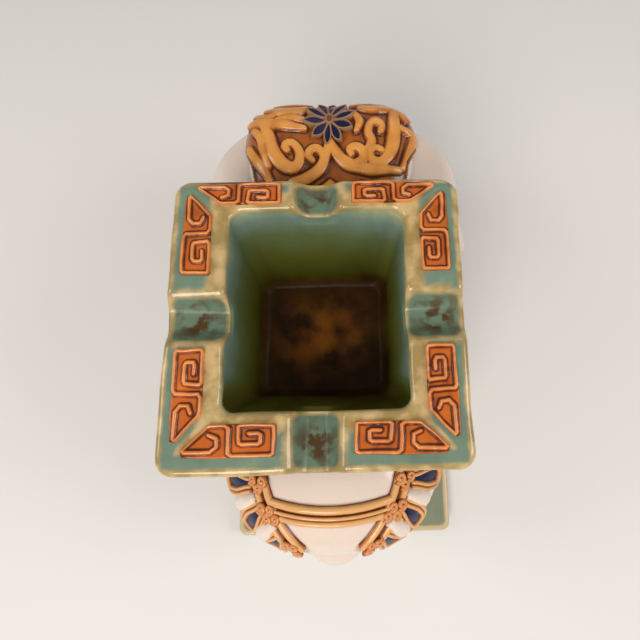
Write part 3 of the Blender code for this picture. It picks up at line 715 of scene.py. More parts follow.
def buildTray():
    f = SimpleNamespace(**trayForm)
    half, top, edge = f.side / 2, f.top, f.edge
    floor = top - f.depth
    foot, neck, under = floor - f.floorThick, top - f.thick - f.wall, half - f.underEdge
    mouth, base = np.array([f.mouthX, f.mouthY]), np.array([f.floorX, f.floorY])
    count = steps(176) * 4
    quarter = np.linspace(0, math.pi / 2, 6)
    rings, zones = [], []  # zone 0 is below, 1 the rim, 2 the lip, 3 the bowl's wall, 4 its floor

    def add(sizes, shift, z, corner, zone):
        halfX, halfY = np.broadcast_to(sizes, 2)
        rings.append(squareRing(halfX, halfY, min(corner, halfX * 0.9), count, (f.x, shift, z)))
        zones.append(np.full(count, zone))

    add(base + f.wall - 0.012, 0, foot, 0.005, 0)
    for t in np.linspace(0, 1, 9):
        z = foot + (neck - foot) * t
        *sizes, shift = bowlOuter(z)
        add(sizes, shift, z + 0.001 * (t == 0), f.footCorner, 0)
    for t in np.linspace(0.12, 1, 9):
        sizes = mouth + f.wall + (under - mouth - f.wall) * t
        add(sizes, f.mouthShift * (1 - t), neck + (top - f.thick - neck) * t**2, f.footCorner, 0)
    for a in quarter[1:]:
        add(under + f.underEdge * math.sin(a), 0, top - f.thick + f.underEdge * (1 - math.cos(a)), f.corner, 0)
    for a in quarter:
        add(half - edge + edge * math.cos(a), 0, top - edge + edge * math.sin(a), f.corner, 1)
    for t in np.linspace(0, 1, steps(44))[1:-1]:
        sizes = half - edge + (mouth + 2 * edge - half) * t
        add(sizes, f.mouthShift * t, top, f.corner + (f.mouthCorner - f.corner) * t, 1)
    for a in quarter:
        add(mouth + edge * (1 - math.sin(a)), f.mouthShift, top - edge * (1 - math.cos(a)), f.mouthCorner, 2)
    for t in np.linspace(0, 1, steps(44))[1:]:
        sizes = mouth + (base - mouth) * (t + f.bow * math.sin(math.pi * t))
        z = top - edge + (floor + f.floorRound - top + edge) * t
        add(sizes, f.mouthShift * (1 - t), z, f.mouthCorner, 3)
    for s in np.sin(quarter[1:]):
        add(base - f.floorRound * s, 0, floor + f.floorRound * (1 - s) ** 1.6, f.mouthCorner - 0.001 * s, 4)
    for left in 1 - 0.94 * np.linspace(0, 1, 14)[1:]:
        add((base - f.floorRound) * left, 0, floor, max(0.0006, 0.0045 * left), 4)

    points, zone = np.array(rings), np.array(zones)
    upper = (zone > 0) & (zone < 3)
    sway = np.stack([wobble(points, 70, seed) for seed in (3, 4)], -1)
    points[..., :2] += f.sway * sway * (zone[..., None] > 0)
    x, y, z = points[..., 0] - f.x, points[..., 1], points[..., 2]
    z = z + np.where(upper, f.wave * wobble(points, 110, 5), 0)
    rest, shoulder, core = (np.zeros(x.shape) for _ in range(3))
    inner = np.maximum(np.abs(x) - f.mouthX, np.abs(y - f.mouthShift) - f.mouthY)
    for outwards, across in ((y, x), (-y, x), (x, y), (-x, y)):
        inset, aside, here = half - outwards, np.abs(across), outwards > f.restFrom * f.side
        bed = top - f.restDepth - inset * f.restSlope
        weight = (1 - rise(aside, f.restFlat, f.restReach)) * here * (zone > 0)
        z = np.where(z > bed, z + (bed - z) * weight, z)
        near = here & upper
        ends = np.maximum(f.dishEnds[0] - inset, f.dishEnds[1] - inner)
        corner = np.hypot(np.clip(aside - f.dish + f.dishRound, 0, None), np.clip(ends, 0, None))
        rest = np.maximum(rest, near * (1 - rise(corner, *f.dishSoft)) * (aside < f.dish + 0.002))
        ash = np.exp(-((across / f.ash[0]) ** 2) - ((inset - f.ashInset) / f.ash[1]) ** 2)
        core = np.maximum(core, near * ash)
        shoulder = np.maximum(shoulder, near * (1 - rise(aside, f.restReach - 0.004, f.restReach + 0.005)))
    points[..., 2] = z
    outer = half - np.maximum(np.abs(x), np.abs(y))
    mitre = (1 - rise(np.abs(np.abs(x) - np.abs(y)), *f.mitre)) * rise(outer, *f.mitreFrom)
    cream = 1.05 * np.maximum(1 - rise(outer, *f.edgeCream), 1 - rise(inner, *f.mouthCream))
    cream = np.maximum(cream, np.maximum(0.92 * shoulder, 0.80 * mitre))
    cream = np.where(upper, cream, np.where(zone == 0, 0.12, 0))
    depth = share(z, floor, top)
    depth = depth * (1 - 0.78 * rise(-y, *f.nearWall) * (zone >= 3))  # painted shade: the near wall's depth mark is lowered so the bowl's ramp paints it darker, as it lies in shade
    lip = rise(top - z, f.lipGlaze, edge) * (1 - shoulder)
    bowl = np.where(zone >= 3, 1.0, np.where(zone == 2, lip, 0.0))
    # painted light: where the lit pool lies on the middle of the bowl's floor
    middle = np.exp(-((x / f.glow[0]) ** 2 + (y / f.glow[1]) ** 2))
    marks = {"cream": cream, "rest": rest, "core": core, "bowl": bowl, "depth": depth, "middle": middle}
    dress(closedTube("tray", points, marks), trayGlaze, "ash_tray")


def outlineGap(a, b, corners):  # how far outside a convex outline
    best = np.full(a.shape, -9.0)
    for (a0, b0), (a1, b1) in zip(corners, corners[1:] + corners[:1]):
        long = math.hypot(a1 - a0, b1 - b0)
        best = np.maximum(best, ((a - a0) * (b1 - b0) - (b - b0) * (a1 - a0)) / long)
    return best


def buildFret(node, row, turned, signX, signY):
    f = SimpleNamespace(**fretForm)
    inset, depth, shift = fretForm[row]

    def place(points):
        return [(shift + f.tip + (f.end - f.tip) * u, inset + depth * v) for u, v in points]

    grain = f.grain / fineness
    a = np.arange(f.tip + shift - f.margin, f.end + shift + f.margin, grain)
    b = np.arange(inset - f.margin, inset + depth + f.margin, grain)
    a, b = np.meshgrid(a, b, indexing="ij")
    soft = np.stack([a, b, 0 * a], -1)
    seed = sum(map(ord, node))
    swayA, swayB = (v + f.sway * wobble(soft, 420, seed + k) for k, v in enumerate((a, b)))
    gap = outlineGap(swayA, swayB, place(keyOutline))
    line = lineDistance(swayA, swayB, np.array(place(keyLine)))
    ridge = fall(line / f.ridge, 2, 2)
    body = 1 - rise(gap, *f.soft)
    high = (f.bed + f.sunk + f.height * ridge + f.rough * wobble(soft, 900, seed + 2)) * body - f.sunk
    along, across = (b, a) if turned else (a, b)
    middle, top = trayForm["side"] / 2, trayForm["top"]
    flat = np.stack([signX * (along - middle) + trayForm["x"], signY * (across - middle)], -1)
    outer, inner = np.dstack([flat, top + high]), np.dstack([flat, np.full(a.shape, top - f.back)])
    # painted shade: a dark line is painted along each side of every ridge
    ridgeShade = np.exp(-(((line - f.shade[0] * f.ridge) / f.shade[1]) ** 2))
    tone = 0.45 + 0.14 * wobble(soft, 380, seed + 3) - 0.46 * ridgeShade + 0.40 * rise(ridge, 0.45, 0.95)
    tone = tone - 0.42 * (1 - rise(-gap, *f.seam)) * (1 - rise(ridge, 0.5, 0.9))
    dress(closedSheet(node + "_plaque", outer, inner, {"relief": tone}), amberGlaze, node)


buildTray()
for fretPlace in fretPlaces:
    buildFret(*fretPlace)
print("tray and key border ready")


# Slab

slabForm = {
    "width": 0.152, "rear": -0.120, "front": 0.150, "thick": 0.011, "corner": 0.006, "edge": 0.0022,
    "sag": 0.0002, "sagReach": 0.006, "pale": (0.0024, 0.0050),
    "below": (0.060, 0.030, 0.010, 0.001),  # insets of the rings, under and on top
    "above": (0.0027, 0.0033, 0.004, 0.005, 0.0065, 0.009, 0.013, 0.02, 0.03, 0.04, 0.05, 0.06, 0.07, 0.0745),
}


def buildSlab():
    f = SimpleNamespace(**slabForm)
    halfX, halfY, middle = f.width / 2, (f.front - f.rear) / 2, (f.front + f.rear) / 2
    count = steps(96) * 4
    section = [(inset, 0.0, 0.9) for inset in f.below] + [(0.0, 0.001, 0.95)]  # inset, height, tone
    section += [(0.0, z, 0.55) for z in np.linspace(0.002, f.thick - f.edge, 5)]
    for a in np.linspace(0, math.pi / 2, 7)[1:]:
        section.append((f.edge * (1 - math.cos(a)), f.thick - f.edge * (1 - math.sin(a)), 1.05))
    for inset in f.above:
        z = f.thick - f.sag * min(1, inset / f.sagReach)
        section.append((inset, z, 1.0 - 0.62 * rise(inset, *f.pale)))
    rings = []
    for inset, z, _ in section:
        corner = max(0.0006, f.corner - inset * 0.6)
        rings.append(squareRing(halfX - inset, halfY - inset, corner, count, (0, middle, z)))
    relief = np.repeat([[tone] for _, _, tone in section], count, 1)
    dress(closedTube("slab", np.array(rings), {"relief": relief}), slabGlaze, "base_slab")


buildSlab()


# Crupper: paired cords with coiled knots, a cross band of three cords, lappets and petals

strapForm = {
    "path": (
        (0.0350, -0.0555), (0.0336, -0.0660), (0.0312, -0.0745), (0.0280, -0.0820), (0.0243, -0.0890),
        (0.0202, -0.0950), (0.0150, -0.1008),
    ),
    "width": 0.0085, "strip": 0.0009, "crown": 0.9, "tone": 0.10, "back": 0.0004,
    "cords": ((-0.0022, 0.00190), (0.0022, 0.00190)), "cordTop": 0.0022, "sides": 16, "uneven": 0.22,
    "knots": (  # share of the way and place across
        (0.25, 0.0024), (0.28, -0.0020), (0.33, 0.0006), (0.50, 0.0022), (0.545, -0.0012), (0.60, 0.0016),
        (0.63, -0.0018), (0.86, 0.0010), (0.92, -0.0010), (0.985, 0.0004),
    ),
    "coil": 0.0025, "coilCord": 0.00125, "turns": 1.4, "knotLift": 0.0018, "smallKnot": 0.88,
}
bandForm = {
    "y": -0.0844, "sag": 5.1, "reach": 0.0275,
    "width": 0.0092, "strip": 0.0007, "crown": 0.0, "tone": 0.08, "back": 0.0004,
    "cords": ((0.00255, 0.00205), (-0.00075, 0.00088), (-0.00305, 0.00152)),  # place across and radius
    "cordTop": 0.0022, "sides": 20, "uneven": 0.16,
}


def layHarness(stripName, cordName, node, path, across, form):
    f = SimpleNamespace(**form)
    s = np.linspace(-1, 1, steps(20))
    flat = path[:, None] + across[:, None] * (s[None, :, None] * f.width / 2)
    hit, normal = layOn(torsoField, flat[..., 0], flat[..., 1])
    body = f.strip * np.sqrt(1 - f.crown * s**2)[None, :, None]
    tone = np.full(flat.shape[:2], f.tone)
    strip = closedSheet(stripName, hit + normal * body, hit - normal * f.back, {"relief": tone})
    dress(strip, cordGlaze, node)
    lines, facings, sizes = [], [], []
    for place, radius in f.cords:
        line = path + across * place
        hit, normal = layOn(torsoField, line[:, 0], line[:, 1])
        lines.append(hit + normal * (f.cordTop - radius))
        facings.append(normal)
        sizes.append(np.full(len(line), radius))
    values = {"Sides": f.sides, "Unevenness": f.uneven, "Glaze": cordGlaze}
    dress(runTree(cordName, cordTree, lines, facings, sizes, values), cordGlaze, node)


def buildStrap(side, node):
    f = SimpleNamespace(**strapForm)
    path = smoothPath(f.path, steps(110))
    path[:, 0] *= side
    across = sideways(path) * side
    layHarness(node + "_strip", node + "_cords", node, path, across, strapForm)
    spots, facings, sizes = [], [], []
    for number, (t, offset) in enumerate(f.knots):
        k = int(round(t * (len(path) - 1)))
        spot = path[k] + across[k] * offset
        hit, normal = layOn(torsoField, spot[:1], spot[1:])
        spots.append(hit + normal * f.knotLift)
        facings.append(normal)
        sizes.append(np.array([1.0 if number % 2 else f.smallKnot]))
    values = {"Turns": f.turns, "Coil Radius": f.coil, "Cord Radius": f.coilCord, "Glaze": knotGlaze}
    dress(runTree(node + "_knots", knotTree, spots, facings, sizes, values), knotGlaze, node)


def bandLine(count):
    x = np.linspace(-bandForm["reach"], bandForm["reach"], count)
    return np.stack([x, bandForm["y"] + bandForm["sag"] * x**2], -1)


lappetForm = {
    "radius": 0.0070, "root": 0.006, "length": 0.0180, "back": 0.0005,
    "hem": 0.0045, "proud": 0.0026, "groove": 0.0008, "low": 0.0011, "crown": 0.0004,
}
petalForm = {
    "radius": 0.0042, "root": 0.006, "length": 0.0110, "back": 0.0005, "thick": 0.0038, "round": 0.0036,
}
lappetPlaces = (  # name, x, y and turn in degrees, for the right side
    ("lappet_1", 0.0415, -0.0700, 6), ("lappet_2", 0.0345, -0.0845, 36), ("lappet_3", 0.0252, -0.0962, 55),
)
petalPlaces = (("petal_1", 0.0385, -0.0778, 20), ("petal_2", 0.0290, -0.0900, 44))


def tongueGrid(form, x, y, turn):  # a tongue hung on the body, with each point's distance from its edge
    f = SimpleNamespace(**form)
    hit, normal = (v[0] for v in layOn(torsoField, np.array([x]), np.array([y])))
    hang = np.array([math.cos(math.radians(turn)), -math.sin(math.radians(turn)), 0.0])
    hang -= normal * (hang @ normal)
    hang /= np.linalg.norm(hang)
    lateral = np.cross(normal, hang)
    r, bend = f.radius, f.length - f.radius
    body = np.linspace(-f.root, bend, steps(40), endpoint=False)
    d = np.concatenate([body, bend + r * np.sin(np.linspace(0, math.pi / 2, steps(26)))])
    straight = r * (0.72 + 0.28 * rise(d, -f.root, f.length * 0.35))
    half = np.where(d < bend, straight, np.sqrt(np.clip(r * r - (d - bend) ** 2, 1e-9, None)))
    aside = half[:, None] * np.linspace(-1, 1, steps(60))[None, :]
    d = d[:, None] + 0 * aside
    inside = np.where(d < bend, half[:, None] - np.abs(aside), r - np.hypot(d - bend, aside))
    above, reach = 0.012, 0.030
    plane = hit + d[..., None] * hang + aside[..., None] * lateral + normal * above
    return *seat(torsoField, plane, -normal, reach), np.clip(inside, 0, None)


def layTongue(node, hit, normal, high, back, side, marks, glaze):
    flip = np.array([side, 1.0, 1.0])
    outer, inner = (hit + normal * high[..., None]) * flip, (hit - normal * back) * flip
    dress(closedSheet(node + "_tongue", outer, inner, marks), glaze, node)


def buildLappet(name, x, y, turn, side, word):
    f = SimpleNamespace(**lappetForm)
    hit, normal, inside = tongueGrid(lappetForm, x, y, turn)
    ridge = np.sqrt(np.abs(np.sin(math.pi * inside / f.hem * 2)))  # two ridges round the hem
    hem = 1 - rise(inside, f.hem - 0.0003, f.hem + 0.0002)
    field = f.low + f.crown * rise(inside, f.hem, f.hem + 0.002)
    high = np.where(inside < f.hem, f.groove + (f.proud - f.groove) * ridge, field)
    marks = {"relief": 0.22 + 0.76 * rise(ridge, 0.35, 0.95), "hem": hem}
    layTongue(f"{name}_{word}", hit, normal, high, f.back, side, marks, blueGlaze)


def buildPetal(name, x, y, turn, side, word):
    f = SimpleNamespace(**petalForm)
    hit, normal, inside = tongueGrid(petalForm, x, y, turn)
    marks = {"stain": 0.45 * (1 - rise(inside, 0.0, 0.0005))}
    high = f.thick * rounded(inside, f.round)
    layTongue(f"{name}_{word}", hit, normal, high, f.back, side, marks, whiteGlaze)


sides = ((-1, "left"), (1, "right"))
for sideSign, sideWord in sides:
    buildStrap(sideSign, "strap_" + sideWord)
    for place in lappetPlaces:
        buildLappet(*place, sideSign, sideWord)
    for place in petalPlaces:
        buildPetal(*place, sideSign, sideWord)
croupLine = bandLine(steps(110))
layHarness("croupStrip", "croupCords", "croup_band", croupLine, sideways(croupLine), bandForm)
print("crupper ready")


# Scroll relief: each scroll is a curved stroke that swells along its way

def stroke(points, widths, count=30):
    path = smoothPath(np.array(points) * mm, count)
    return path, mm * np.interp(np.linspace(0, 1, count), np.linspace(0, 1, len(widths)), widths)


capForm = {
    "edge": 0.131, "side": ((0.036, 0.060), (0.041, 0.0915), (0.0505, 0.115), (0.058, 0.160)),
    "rear": 0.0669, "front": 0.1332, "back": 0.0004,
    "low": 0.0019, "high": 0.0042, "soft": 0.0007, "border": 0.0022, "swell": 0.0022, "sway": 0.0003,
    "knob": (0.003, 0.1245, 0.0060, 0.0028),  # x, y, radius, height
    "bead": 0.0011, "beadSpacing": 0.0017, "beadLift": 0.0006, "beadSeed": 5, "widen": 0.0007,
}
capScrolls = (  # plan places in mm and half widths in mm, as seen from above
    (((-41, 99.5), (-38, 93), (-34, 88), (-31, 82)), (1.2, 1.9, 1.9, 1.2)),
    (((-38.5, 109), (-34.8, 104), (-34, 96.5), (-31, 88.5)), (1.5, 1.7, 1.5, 1.0)),
    (((-34, 111), (-30.5, 104), (-29, 96), (-25.5, 89.5), (-21, 86.5), (-16.5, 88), (-15.5, 93.5),
      (-18, 98.5), (-21, 100), (-23.5, 98), (-22, 95.5)), (1.9, 2.3, 2.4, 2.8, 3.0, 2.7, 2.1, 1.8, 1.6, 1.5, 1.4)),
    (((-41, 115), (-31, 111.5), (-21, 109), (-14, 108)), (1.8, 2.6, 2.4, 1.3)),
    (((-33, 121), (-25, 118.5), (-17, 119), (-13, 122)), (1.8, 3.0, 2.8, 1.5)),
    (((-39, 119), (-34, 116), (-29.5, 116)), (1.0, 1.5, 1.1)),
    (((-1, 106), (-1, 98.5), (-2.5, 93), (-5.5, 87), (-12, 83), (-20, 81)), (1.0, 2.4, 2.7, 2.4, 2.0, 1.2)),
    (((-3, 92), (-6, 97), (-10, 97.5), (-12.5, 93.5), (-10, 91)), (1.6, 1.9, 1.9, 1.7, 1.3)),
    (((-1, 106), (3, 97.5), (7, 91.5), (12.5, 87.5), (21.5, 85.5), (35.5, 86.5)),
     (1.0, 2.5, 2.5, 2.2, 1.9, 1.2)),
    (((12, 88), (18, 89.5), (18.5, 94), (15, 97.5), (11, 96.5), (12.5, 93.5)), (1.2, 1.8, 1.9, 1.9, 1.7, 1.2)),
    (((34, 120), (33.5, 108), (32.5, 98), (29.5, 91), (25, 88.5), (21, 90.5), (20.5, 94.5), (23.5, 97),
      (26.5, 95.5)), (1.7, 2.3, 2.6, 2.8, 2.7, 2.3, 1.9, 1.6, 1.3)),
    (((20.5, 95), (23, 100.5), (20.5, 104.5), (21.5, 110), (24.5, 112), (28, 109.5), (27, 105.5)),
     (1.5, 1.8, 1.8, 1.7, 1.7, 1.6, 1.2)),
    (((36.5, 109), (42, 108), (43.5, 105), (40.5, 96), (37.5, 88)), (1.3, 1.9, 1.9, 1.5, 1.1)),
    (((17, 122), (23, 119.5), (30, 122), (36, 121), (40, 116)), (1.6, 2.6, 2.6, 2.4, 1.4)),
    (((-27, 113), (-20, 114.5), (-14, 113)), (1.2, 1.8, 1.0)),
    (((14, 117), (17, 112), (15, 106)), (1.0, 1.8, 1.0)),
    (((-30, 127), (-20, 126), (-12, 129)), (1.4, 2.2, 1.3)),
    (((30, 127.5), (21, 127.5), (12, 129)), (1.4, 2.2, 1.3)),
    (((0, 81), (-6, 76), (-14, 75.5), (-17, 79)), (1.6, 2.2, 2.0, 1.2)),
    (((0, 81), (6, 76), (14, 75.5), (17, 79)), (1.6, 2.2, 2.0, 1.2)),
    (((-33, 78), (-26, 74), (-20, 72)), (1.4, 2.2, 1.2)),
    (((33, 78), (26, 74), (20, 72)), (1.4, 2.2, 1.2)),
)


def capLimit(y):  # angle of the cap's side edge, from its plan outline and its lower edge
    half, up, _, middle = headSize(y)
    edgeX = np.interp(y, [p[1] for p in capForm["side"]], [p[0] for p in capForm["side"]])
    power = headForm["power"]
    q = np.clip((capForm["edge"] - middle) / np.maximum(up, 1e-6), 0, 0.9995)
    return np.maximum(angleAtX(np.clip(edgeX / half, 0, 1), power), np.arctan2(q, fall(q, power, power)))


def buildCap():
    f = SimpleNamespace(**capForm)
    t = np.linspace(0, math.pi, steps(190))
    y = (f.rear + f.front) / 2 - (f.front - f.rear) / 2 * (0.85 * np.cos(t) + 0.15 * (1 - 2 * t / math.pi))
    s = np.linspace(-1, 1, steps(255))
    angle = math.pi / 2 - (math.pi / 2 - capLimit(y))[:, None] * s[None, :]
    base = bodyPoint(headSize, headForm, angle, y[:, None] + 0 * angle)
    normal = slope(headField, base)
    swayX, swayY = (base[..., k] + f.sway * wobble(base, 260, 31 + k) for k in range(2))
    gap = reliefGap(swayX, swayY, [stroke(*scroll) for scroll in capScrolls]) - f.widen
    run = np.cumsum(np.linalg.norm(np.diff(base, axis=1), axis=2), axis=1)
    run = np.concatenate([np.zeros((len(y), 1)), run], 1)
    rim = np.minimum(run, run[:, -1:] - run)
    plain = rise(rim, f.border, f.border + 0.0006)
    body = (1 - rise(gap, -f.soft, f.soft * 0.4)) * plain
    swell = np.sqrt(np.clip(-gap / f.swell, 0, 1)) * plain
    knobX, knobY, knobR, knobH = f.knob
    knob = fall(np.clip(np.hypot(base[..., 0] - knobX, (base[..., 1] - knobY) * 1.2) / knobR, 0, 1), 2, 1.6)
    high = f.low + (f.high - f.low) * body * (0.72 + 0.28 * swell) + knobH * knob
    high = high * (0.25 + 0.75 * rise(rim, 0, 0.0007))
    outline = 1 - rise(np.abs(gap - 0.0003), 0.0002, 0.0009)
    tone = 0.36 + 0.28 * body + 0.28 * swell - 0.36 * outline * plain + 0.10 * wobble(base, 420, 33)
    tone = np.where(plain < 0.5, 0.14, tone) * (1 - 0.25 * knob)
    cap = closedSheet("scrollCap", base + normal * high[..., None], base - normal * f.back, {"relief": tone})
    dress(cap, goldGlaze, "head_cap")
    lines = [base[2:-2, column] + normal[2:-2, column] * f.beadLift for column in (0, -1)]
    facings = [normal[2:-2, column] for column in (0, -1)]
    sizes = [np.ones(len(line)) for line in lines]
    values = {"Spacing": f.beadSpacing, "Bead Radius": f.bead, "Seed": f.beadSeed, "Glaze": goldGlaze}
    dress(runTree("capBeads", beadTree, lines, facings, sizes, values), goldGlaze, "head_cap")


daisyForm = {
    "x": 0.0, "y": 0.1140, "radius": 0.0148, "petals": 10, "petal": 0.195, "rim": 0.00075, "turn": 0.20,
    "lift": 0.0030, "thick": 0.0022, "back": 0.0006,
    "hub": 0.30, "eye": (0.0017, 0.0023), "heart": (0.0030, 0.0036), "ring": 0.0027,
}


def petalWidth(t):  # half width at a share of the petal's length
    curve = np.sin(math.pi * np.clip((t - 0.10) / 0.90, 0, 1) ** 1.3) ** 0.7
    return daisyForm["radius"] * daisyForm["petal"] * curve


def buildDaisy():
    f = SimpleNamespace(**daisyForm)
    a = circle(steps(520))
    local = ((a * f.petals / (2 * math.pi) + f.turn) % 1 - 0.5) * 2 * math.pi / f.petals
    tries = np.linspace(f.hub, 1, 141)[:, None]
    fits = np.abs(tries * f.radius * np.sin(local)) < petalWidth(tries * np.cos(local))
    reach = f.radius * np.where(fits, tries, f.hub).max(0)
    out = np.linspace(0.01, 1, steps(90))[:, None]
    radius = out * reach[None, :]
    inside = petalWidth(radius * np.cos(local) / f.radius) - np.abs(radius * np.sin(local))
    heart, eye = (1 - rise(radius, *span) for span in (f.heart, f.eye))
    hit, normal = layOn(headField, f.x + radius * np.cos(a), f.y + radius * np.sin(a))
    rim = (1 - rise(inside, f.rim, f.rim + 0.0004)) * (1 - heart)
    rim = np.maximum(rim, 1 - rise(np.abs(radius - f.ring), 0.0005, 0.0009))
    high = f.lift + f.thick * (0.60 + 0.40 * rim + 0.25 * heart) * (1 - 0.5 * rise(out, 0.97, 1.0))
    rings = np.concatenate([hit[-1:] + normal[-1:] * f.back, (hit + normal * high[..., None])[::-1]], 0)
    marks = {name: np.concatenate([mark[-1:], mark[::-1]], 0) for name, mark in (("rim", rim), ("heart", eye))}
    dress(closedTube("capDaisy", rings, marks), daisyGlaze, "cap_flower")


buildCap()
buildDaisy()
print("cap ready")


# White body

def dressWhite(name, rings, node, stain=0.0):
    marks = {"stain": stain + np.zeros(rings.shape[:2])}
    dress(closedTube(name, rings, marks), whiteGlaze, node)


def buildTorso():
    rings = bodyRings(torsoSize, torsoForm, steps(230), steps(230))
    x, y, z = (rings[..., k] for k in range(3))
    stainReach, stainLow, pocketLow, room = 0.0011, 0.110, 0.120, 0.0012
    best = np.full(x.shape, 9.0)  # brown glaze has run off the harness on to the white
    for line, form in ((smoothPath(strapForm["path"], 40), strapForm), (bandLine(20), bandForm)):
        gap = np.minimum(lineDistance(x, y, line), lineDistance(-x, y, line)) - (form["width"] / 2 - 0.0004)
        best = np.minimum(best, gap)
    stain = 0.55 * (1 - rise(best, 0.0, stainReach)) * (z > stainLow)
    halfX, halfY, shift = bowlOuter(z)  # the bowl sits in a pocket of the back
    pocket = (np.abs(x - trayForm["x"]) < halfX + room) & (np.abs(y - shift) < halfY + room) & (z > pocketLow)
    foot = trayForm["top"] - trayForm["depth"] - trayForm["floorThick"]
    rings[..., 2] = np.where(pocket, np.minimum(z, foot - room), z)
    dressWhite("barrel", rings, "torso", stain)


legForm = {
    "x": 0.031, "front": 0.056, "rear": -0.068, "radius": 0.0205, "foot": 0.0112, "top": 0.090, "toeOut": 14,
    "shape": ((0, 0.10, 0.26, 0.55, 1), (1.00, 1.09, 1.02, 0.97, 0.95)),  # shares of height and radius
    "nails": 4, "nail": 0.0014, "nailApart": 0.52, "nailHalf": (0.23, 0.0058), "nailHeight": 0.0042,
    "creases": (0.021, 0.0262, 0.033), "crease": 0.00045, "creaseWidth": 0.0011, "footRound": (0.0016, 0.0012),
}


def buildLeg(x, y, facing, node):
    f = SimpleNamespace(**legForm)
    t = np.linspace(0, 1, steps(90))
    a = circle(steps(120))
    wide = np.convolve(np.pad(np.interp(t, *f.shape), 6, mode="edge"), np.ones(13) / 13, "valid")
    z = f.foot + (f.top - f.foot) * t
    height = z - f.foot
    r = f.radius * wide[:, None] + 0 * a[None, :]
    r = r - f.footRound[0] * np.exp(-((height / f.footRound[1]) ** 2))[:, None]
    crease = sum(np.exp(-(((height - at) / f.creaseWidth) ** 2)) for at in f.creases)
    r = r - f.crease * crease[:, None] * (0.6 + 0.4 * np.cos(2 * (a[None, :] - facing)))
    stain = np.zeros(r.shape) + 0.14 * crease[:, None]
    for k in range(f.nails):
        at = facing + (k - (f.nails - 1) / 2) * f.nailApart
        gap = (a - at + math.pi) % (2 * math.pi) - math.pi
        above = height[:, None] - f.nailHeight
        shape = 1 - (gap[None, :] / f.nailHalf[0]) ** 2 - (above / f.nailHalf[1]) ** 2
        r = r + f.nail * np.sqrt(np.clip(shape, 0, 1)) ** 0.7
        stain = np.maximum(stain, 0.65 * (1 - rise(np.abs(shape), 0.0, 0.22)))
    points = np.stack([x + r * np.cos(a)[None, :], y + r * np.sin(a)[None, :], z[:, None] + 0 * r], -1)
    dressWhite(node + "_column", points, node, stain)


trunkForm = {
    "root": 0.021, "tip": 0.0085, "drop": 0.008, "foot": 0.0113, "folds": 17, "fold": 0.0007,
    # forward, up and share of the radius, from the head and from the slab
    "upper": ((-0.024, 0.004, 1.0), (-0.004, -0.006, 1.0), (0.001, -0.035, 0.82), (-0.004, -0.066, 0.62)),
    "lower": ((-0.012, 0.004, 1.05), (-0.006, 0.001, 0.85), (0.001, 0.005, 0.75), (0.002, 0.012, 0.70)),
}


def buildTrunk():
    f = SimpleNamespace(**trunkForm)
    points, radii = [], []
    high, low = headForm["middle"] - f.drop, f.foot + f.tip
    for start, size, part in ((high, f.root, f.upper), (low, f.tip, f.lower)):
        points += [(0, headForm["front"] + y, start + z) for y, z, _ in part]
        radii += [size * r for _, _, r in part]

    def fold(t, sharp):
        return np.cos(t * 2 * math.pi * f.folds) ** sharp * (rise(t, 0.16, 0.3) * (1 - rise(t, 0.80, 0.9)))

    rows = steps(240)
    rings = sweepRings(points, radii, rows, steps(90), lambda t, angle: -f.fold * fold(t, 8) + 0 * angle)
    dressWhite("trunkFolds", rings, "trunk", 0.42 * fold(np.linspace(0, 1, rows)[:, None], 20))


def buildRod(name, points, form, node):
    radii = [form["radius"] * r for _, _, r in form["path"]]

    def strands(t, angle):
        return form["strand"] * np.cos(angle * 9) * rise(t, 0.62, 0.78)

    dressWhite(name, sweepRings(points, radii, steps(90), steps(48), strands), node)


earForm = {
    "thick": 0.006, "top": 0.139, "drop": 0.070, "spread": 0.0235, "tuck": 0.007, "flare": 0.004,
    "front": 0.118, "lean": 0.020, "chord": 0.050, "round": 0.0030, "fold": 0.0007,
}


def buildEar(side, node):
    f = SimpleNamespace(**earForm)
    v = np.linspace(0, 1, steps(120))[:, None]
    u = np.linspace(0, 1, steps(90))[None, :]
    bend = np.sin(np.minimum(1, 1.6 * v) * math.pi / 2)
    x = headForm["half"] - f.tuck + (f.spread + f.tuck) * bend + f.flare * u * bend
    z = f.top - f.drop * v**1.35 + 0 * u
    chord = f.chord * np.sin(math.pi * np.minimum(1, 0.18 + 0.80 * v)) ** 0.7 + f.flare
    middle = np.stack([side * x, f.front - f.lean * v - chord * u, z], -1)
    normal = np.cross(np.gradient(middle, axis=1), np.gradient(middle, axis=0))
    normal /= np.linalg.norm(normal, axis=-1, keepdims=True)
    normal *= np.sign((normal[..., :1] * side).mean())
    edge = np.minimum(np.minimum(u, 1 - u) * 0.045, np.minimum(v, 1 - v) * 0.075) + 0 * x
    half = f.thick / 2 * rounded(edge, f.round, 0.02)
    fold = f.fold * np.sin(math.pi * u * 2.4 + 1.5 * v) * rise(edge, 0, 0.01) * bend
    outer, inner = middle + normal * (half + fold)[..., None], middle - normal * half[..., None]
    flap = closedSheet(node + "_flap", outer, inner, {"stain": np.zeros(x.shape)})
    dress(flap, whiteGlaze, node)


tuskForm = {
    "radius": 0.0052, "strand": 0.0, "x": (0.0200, 0.0255, 0.0275, 0.0270),
    "path": ((-0.020, -0.024, 1.0), (-0.010, -0.038, 1.0), (0.0, -0.050, 0.8), (0.009, -0.051, 0.35)),
}
tailForm = {
    "radius": 0.0048, "drop": 0.006, "strand": 0.0005,
    "path": (
        (0.010, 0.0, 1.3), (0.002, -0.008, 1.0), (0.003, -0.024, 1.0), (0.010, -0.042, 0.9),
        (0.014, -0.056, 1.3), (0.013, -0.070, 0.4),
    ),
}

